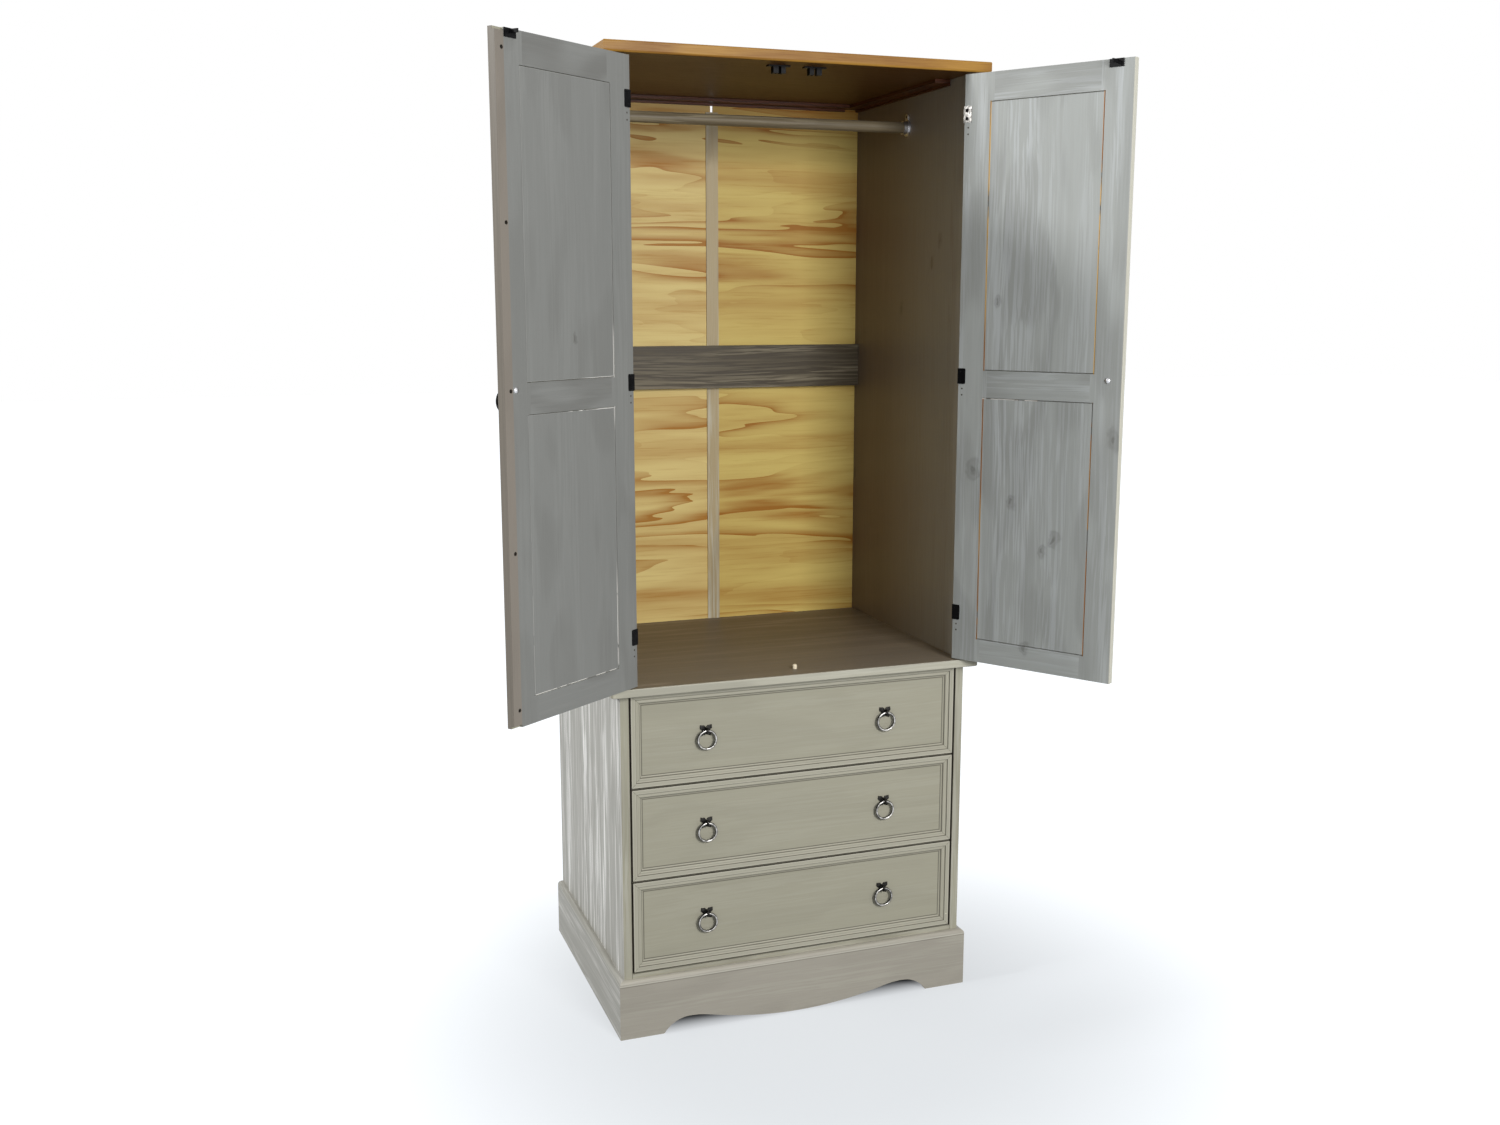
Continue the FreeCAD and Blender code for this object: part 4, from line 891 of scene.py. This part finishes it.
class CHIFFOROBE_OT_finish_hardware(bpy.types.Operator):
    """Lacquer the hinges, catches and strikes, and finish the sockets, rollers, screws and peg"""
    bl_idname = "chifforobe.finish_hardware"
    bl_label = "Finish Hardware"

    def execute(self, context):
        metals = context.scene.chifforobe_metal
        cover(metal(Finish("black_lacquer"), metals.black, metals.black_worn, 0.25, 160.0,
                    Specular_IOR_Level=LACQUER_SPECULAR),
              "case_hinge_leaves", "catch_housings", "left_door_hinge_leaves",
              *(side + "_door_strike" for side in SIDES))
        cover(right_leaves(metals), "right_door_hinge_leaves")
        cover(metal(Finish("chrome"), metals.chrome, metals.steel, 0.4, 220.0, bump=0.03, Metallic=1.0),
              "rail_sockets")
        cover(metal(Finish("roller_black"), metals.roller, metals.black_worn, 0.2, 260.0, bump=0.03,
                    Specular_IOR_Level=0.3),
              *("%s_catch_roller_%s" % (side, place) for side in SIDES for place in ("inner", "outer")))
        cover(metal(Finish("dark_screws"), metals.screw, metals.screw_worn, 0.5, 300.0, Metallic=0.5),
              "case_screws")
        cover(metal(Finish("sunk_screws"), metals.black, metals.screw, 0.5, 300.0, Specular_IOR_Level=0.1),
              "left_door_strip_screws")
        cover(metal(Finish("cream_peg"), metals.cream, metals.cream, 0.0, 300.0), "door_stop_peg")
        return {"FINISHED"}


# Ring pulls

DRAWER_WALL = 12 * MM
DOOR_WALL = 16 * MM
SMOOTH_LIMIT = math.radians(40)
# Steps round an eye or a ring, and round its wire
EYE_STEPS = 36, 14
RING_STEPS = 72, 18
# Right half of a plate's bow-tie outline in millimetres, from the upper notch to the lower one
PLATE_HALF = (0, 4.8), (3.2, 8.8), (11.6, 9.6), (12.2, 3.2), (6.4, -2.0), (9.6, -6.8), (9.6, -12.0), (0, -8.4)


def new_piece(name, shape, materials, body):
    """Finished piece from a bmesh, riding on a body."""
    bmesh.ops.remove_doubles(shape, verts=shape.verts, dist=0.001 * MM)
    bmesh.ops.recalc_face_normals(shape, faces=shape.faces)
    mesh = bpy.data.meshes.new(name)
    shape.to_mesh(mesh)
    shape.free()
    for material in materials:
        mesh.materials.append(material)
    mesh.shade_smooth()
    mesh.set_sharp_from_angle(angle=SMOOTH_LIMIT)
    piece = bpy.data.objects.new(name, mesh)
    bpy.context.scene.collection.objects.link(piece)
    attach(piece, body)
    return piece


def torus(shape, radius, wire, axis, middle, steps, around):
    """Ring of round wire about an axis through its middle."""
    side = Vector((0, 0, 1)) if abs(axis.z) < 0.5 else Vector((1, 0, 0))
    turn = Matrix((side, axis, side.cross(axis))).transposed().to_4x4()
    loop = bmesh.ops.create_circle(shape, segments=around, radius=wire,
                                   matrix=Matrix.Translation(middle + side * radius) @ turn)
    edges = list({edge for vert in loop["verts"] for edge in vert.link_edges})
    bmesh.ops.spin(shape, geom=loop["verts"] + edges, cent=middle, axis=axis, angle=2 * math.pi, steps=steps,
                   use_merge=True)


def pull_place(joint_name):
    """Place of a pull: middle of the eye, X along the eye's axis and Y into the board."""
    joint = JOINTS[joint_name]
    across = -Vector(joint["axis"]).normalized()
    up = Vector((0, 0, 1))
    turn = Matrix((across, up.cross(across), up)).transposed().to_4x4()
    return Matrix.Translation(joint["pos_m"]) @ turn


def add_plate(shape, pulls):
    """Bow-tie plate with bevelled edges."""
    left_half = [(-x, z) for x, z in PLATE_HALF[-2:0:-1]]
    corners = [(x * MM, pulls.standoff, z * MM) for x, z in (*PLATE_HALF, *left_half)]
    face = shape.faces.new([shape.verts.new(corner) for corner in corners])
    front = bmesh.ops.extrude_face_region(shape, geom=[face])["geom"]
    front_verts = [part for part in front if isinstance(part, bmesh.types.BMVert)]
    bmesh.ops.translate(shape, verts=front_verts, vec=(0, -pulls.plate, 0))
    rim = [part for part in front if isinstance(part, bmesh.types.BMEdge)]
    bmesh.ops.bevel(shape, geom=rim, offset=pulls.plate_bevel, offset_type="OFFSET", affect="EDGES",
                    segments=3, profile=0.5, material=-1, clamp_overlap=True)


def add_turned(shape, profile, steps=32):
    """Turned form about the Y axis from points of radius and depth."""
    verts = [shape.verts.new((radius, depth, 0)) for radius, depth in profile]
    edges = [shape.edges.new(pair) for pair in zip(verts, verts[1:])]
    bmesh.ops.spin(shape, geom=verts + edges, cent=(0, 0, 0), axis=(0, 1, 0), angle=2 * math.pi, steps=steps,
                   use_merge=True)


def add_pull(shape, pulls, wall, place):
    """Plate, collar, eye and cap nut of one pull on a board of a given thickness."""
    others = set(shape.verts)
    add_plate(shape, pulls)
    face = pulls.standoff - pulls.plate
    collar = pulls.stud * 1.7
    add_turned(shape, [(0, pulls.eye), (pulls.stud, pulls.eye), (pulls.stud, face - 0.9 * MM),
                       (collar, face - 0.5 * MM), (collar * 1.1, face + 0.2 * MM), (0, face + 0.2 * MM)])
    torus(shape, pulls.eye, pulls.eye_wire, Vector((1, 0, 0)), Vector((0, 0, 0)), *EYE_STEPS)
    cast = set(shape.faces)
    inner = pulls.standoff + wall
    rounds = [math.radians(angle) for angle in (18, 36, 54, 72)]
    dome = [(pulls.nut * math.cos(a), inner + pulls.nut_height * math.sin(a)) for a in rounds]
    add_turned(shape, [(0, inner), (pulls.nut, inner), *dome, (0, inner + pulls.nut_height)])
    for part in shape.faces:
        if part not in cast:
            part.material_index = 1
    bmesh.ops.transform(shape, matrix=place, verts=[vert for vert in shape.verts if vert not in others])


class CHIFFOROBE_OT_cast_pulls(bpy.types.Operator):
    """Cast the pull plates with their eyes and cap nuts"""
    bl_idname = "chifforobe.cast_pulls"
    bl_label = "Cast Pull Plates"

    def execute(self, context):
        pulls = context.scene.chifforobe_pulls
        metals = context.scene.chifforobe_metal
        materials = (metal(Finish("plate_pewter"), metals.pewter, metals.pewter_worn_and_highlight, 0.05, 240.0, bump=0.3,
                           Metallic=1.0),
                     metal(Finish("cap_nut_steel"), metals.steel, metals.chrome, 0.6, 260.0, Metallic=1.0))
        plan = {"drawer_%d" % n: ("drawer_%d_pull_plates" % n, DRAWER_WALL,
                                  ["drawer_%d_%s_ring_swing" % (n, side) for side in SIDES]) for n in DRAWERS}
        for side in SIDES:
            door = side + "_door"
            plan[door] = (door + "_pull_plate", DOOR_WALL, [door + "_ring_swing"])
        for body, (node, wall, joints) in plan.items():
            shape = bmesh.new()
            for joint in joints:
                add_pull(shape, pulls, wall, pull_place(joint))
            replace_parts(new_piece(body + "_cast_plates", shape, materials, body), node)
        return {"FINISHED"}


class CHIFFOROBE_OT_cast_rings(bpy.types.Operator):
    """Cast the rings of the pulls, bright on the front crown of the wire: rubbed metal with a painted
    highlight
    """
    bl_idname = "chifforobe.cast_rings"
    bl_label = "Cast Rings"

    def execute(self, context):
        pulls = context.scene.chifforobe_pulls
        metals = context.scene.chifforobe_metal
        finish = Finish("ring_pewter")
        # Rubbed metal with a painted highlight: the front crown of each wire is bright
        crown = finish.add("ShaderNodeAttribute", {}, attribute_name="crown").outputs["Fac"]
        rubbed = finish.rise(crown, 0.62, 0.97, 0.02, 1.0)
        material = metal(finish, metals.pewter, metals.pewter_worn_and_highlight, rubbed, 160.0, Metallic=1.0)
        plan = {"drawer_%d_%s_ring" % (n, side): "drawer_%d_ring_%s" % (n, side)
                for n in DRAWERS for side in SIDES}
        plan.update({side + "_door_ring": side + "_door_pull_ring" for side in SIDES})
        for body, node in plan.items():
            shape = bmesh.new()
            torus(shape, pulls.ring, pulls.wire, Vector((0, 1, 0)), Vector((0, 0, -pulls.ring)), *RING_STEPS)
            layer = shape.verts.layers.float.new("crown")
            for vert in shape.verts:
                vert[layer] = max(0.0, -vert.co.y / pulls.wire)
            bmesh.ops.transform(shape, matrix=pull_place(body + "_swing"), verts=shape.verts)
            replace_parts(new_piece(body + "_cast", shape, (material,), body), node)
        return {"FINISHED"}


# Stage

# Lamps by place, target and size in metres
LAMPS = {
    "front": ((0.45, -3.9, 1.95), (0, -0.25, 0.95), 1.2),
    "left": ((-3.8, -0.5, 3.0), (0, -0.4, 1.0), 0.45),
}
FLOOR_HALF = 20.0
FLOOR_TONES = (0.20, 0.21, 0.22, 1), (0.22, 0.23, 0.24, 1)
FLOOR_GLOW = (0.97, 1.0, 1.03, 1)
# The floor's glow is least before the case, as painted shade, and whitens between two distances from there
GLOW_MIDDLE = (0.0, -0.6, 0.0)
GLOW_REACH = 0.3, 1.25
GLOW_LEAST = 0.56


def area_light(name, place, target, size, watts):
    lamp = bpy.data.lights.new(name, "AREA")
    lamp.shape = "SQUARE"
    lamp.size = size
    lamp.energy = watts
    light = bpy.data.objects.new(name, lamp)
    light.location = place
    light.rotation_euler = (Vector(target) - Vector(place)).to_track_quat("-Z", "Y").to_euler()
    bpy.context.scene.collection.objects.link(light)


def seen_directly(nodes):
    """Mask of what the camera, a reflection or a clear material sees."""
    path = nodes.add("ShaderNodeLightPath", {}).outputs
    return nodes.most(nodes.most(path["Is Camera Ray"], path["Is Glossy Ray"]), path["Is Transmission Ray"])


def floor_material():
    """Pale floor that glows white from afar, with its glow dimmed before the case as painted shade and taken
    away under the case as a painted shadow.
    """
    finish = Finish("pale_floor")
    x, y, _ = finish.split(finish.local)
    low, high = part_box("plinth_front")
    # Painted shadow: the glow fades out behind the plinth's front and is gone under the case
    in_depth = finish.times(finish.rise(y, low.y - 5 * MM, low.y + 55 * MM),
                            finish.fall(y, -60 * MM, 0.0))
    below = finish.times(in_depth, finish.fall(finish.size(x), high.x - 40 * MM, high.x))
    glow = finish.rise(finish.distance(finish.local, GLOW_MIDDLE), *GLOW_REACH, GLOW_LEAST, 1.0)
    glow = finish.times(glow, finish.minus(1.0, below))
    tone = finish.blend(finish.noise(finish.local, 3.0, 3.0)[0], *FLOOR_TONES)
    return finish.set(Base_Color=tone, Roughness=0.7, Specular_IOR_Level=0.1, Emission_Color=FLOOR_GLOW,
                      Emission_Strength=finish.times(seen_directly(finish), glow))


class CHIFFOROBE_OT_set_stage(bpy.types.Operator):
    """Lay the floor, hang the lights and place the camera"""
    bl_idname = "chifforobe.set_stage"
    bl_label = "Set Stage"

    def execute(self, context):
        scene = context.scene
        stage = scene.chifforobe_stage
        shape = bmesh.new()
        bmesh.ops.create_grid(shape, x_segments=8, y_segments=8, size=FLOOR_HALF)
        mesh = bpy.data.meshes.new("floor")
        shape.to_mesh(mesh)
        shape.free()
        mesh.materials.append(floor_material())
        floor = bpy.data.objects.new("floor", mesh)
        scene.collection.objects.link(floor)

        world = bpy.data.worlds.new("studio")
        world.use_nodes = True
        scene.world = world
        nodes = Nodes(world.node_tree)
        sky = next(node for node in world.node_tree.nodes if node.type == "BACKGROUND")
        nodes.put(sky.inputs["Color"], (1, 1, 1, 1))
        nodes.put(sky.inputs["Strength"], nodes.between(seen_directly(nodes), stage.ambient, 1.0))
        for name, watts in (("front", stage.front), ("left", stage.left)):
            area_light(name, *LAMPS[name], watts)

        camera = bpy.data.cameras.new("camera")
        camera.lens = stage.lens
        camera.sensor_width = 36.0
        viewer = bpy.data.objects.new("camera", camera)
        viewer.location = stage.eye
        viewer.rotation_euler = (math.radians(90) - stage.dip, 0, -stage.turn)
        scene.collection.objects.link(viewer)
        scene.camera = viewer
        scene.view_settings.view_transform = "Standard"
        return {"FINISHED"}


class CHIFFOROBE_PT_finishes(bpy.types.Panel):
    """Steps and settings of the chifforobe's finishes"""
    bl_idname = "CHIFFOROBE_PT_finishes"
    bl_label = "Chifforobe"
    bl_space_type = "VIEW_3D"
    bl_region_type = "UI"
    bl_category = "Chifforobe"

    def draw(self, context):
        for operator in OPERATORS:
            self.layout.operator(operator.bl_idname)
        for name in SETTINGS:
            group = getattr(context.scene, name)
            box = self.layout.box()
            for label in group.__annotations__:
                box.prop(group, label)


SETTINGS = {
    "chifforobe_paint": ChifforobePaint,
    "chifforobe_wood": ChifforobeWood,
    "chifforobe_metal": ChifforobeMetal,
    "chifforobe_pulls": ChifforobePulls,
    "chifforobe_stage": ChifforobeStage,
}
OPERATORS = (
    CHIFFOROBE_OT_paint_case,
    CHIFFOROBE_OT_finish_wood,
    CHIFFOROBE_OT_paint_doors,
    CHIFFOROBE_OT_paint_drawers,
    CHIFFOROBE_OT_finish_hardware,
    CHIFFOROBE_OT_cast_pulls,
    CHIFFOROBE_OT_cast_rings,
    CHIFFOROBE_OT_set_stage,
)


def register():
    for name, group in SETTINGS.items():
        bpy.utils.register_class(group)
        setattr(bpy.types.Scene, name, PointerProperty(type=group))
    for item in (*OPERATORS, CHIFFOROBE_PT_finishes):
        bpy.utils.register_class(item)


def unregister():
    for item in reversed((*OPERATORS, CHIFFOROBE_PT_finishes)):
        bpy.utils.unregister_class(item)
    for name, group in reversed(SETTINGS.items()):
        delattr(bpy.types.Scene, name)
        bpy.utils.unregister_class(group)


def main():
    register()
    for operator in OPERATORS:
        family, step = operator.bl_idname.split(".")
        getattr(getattr(bpy.ops, family), step)()


if __name__ == "__main__":
    main()
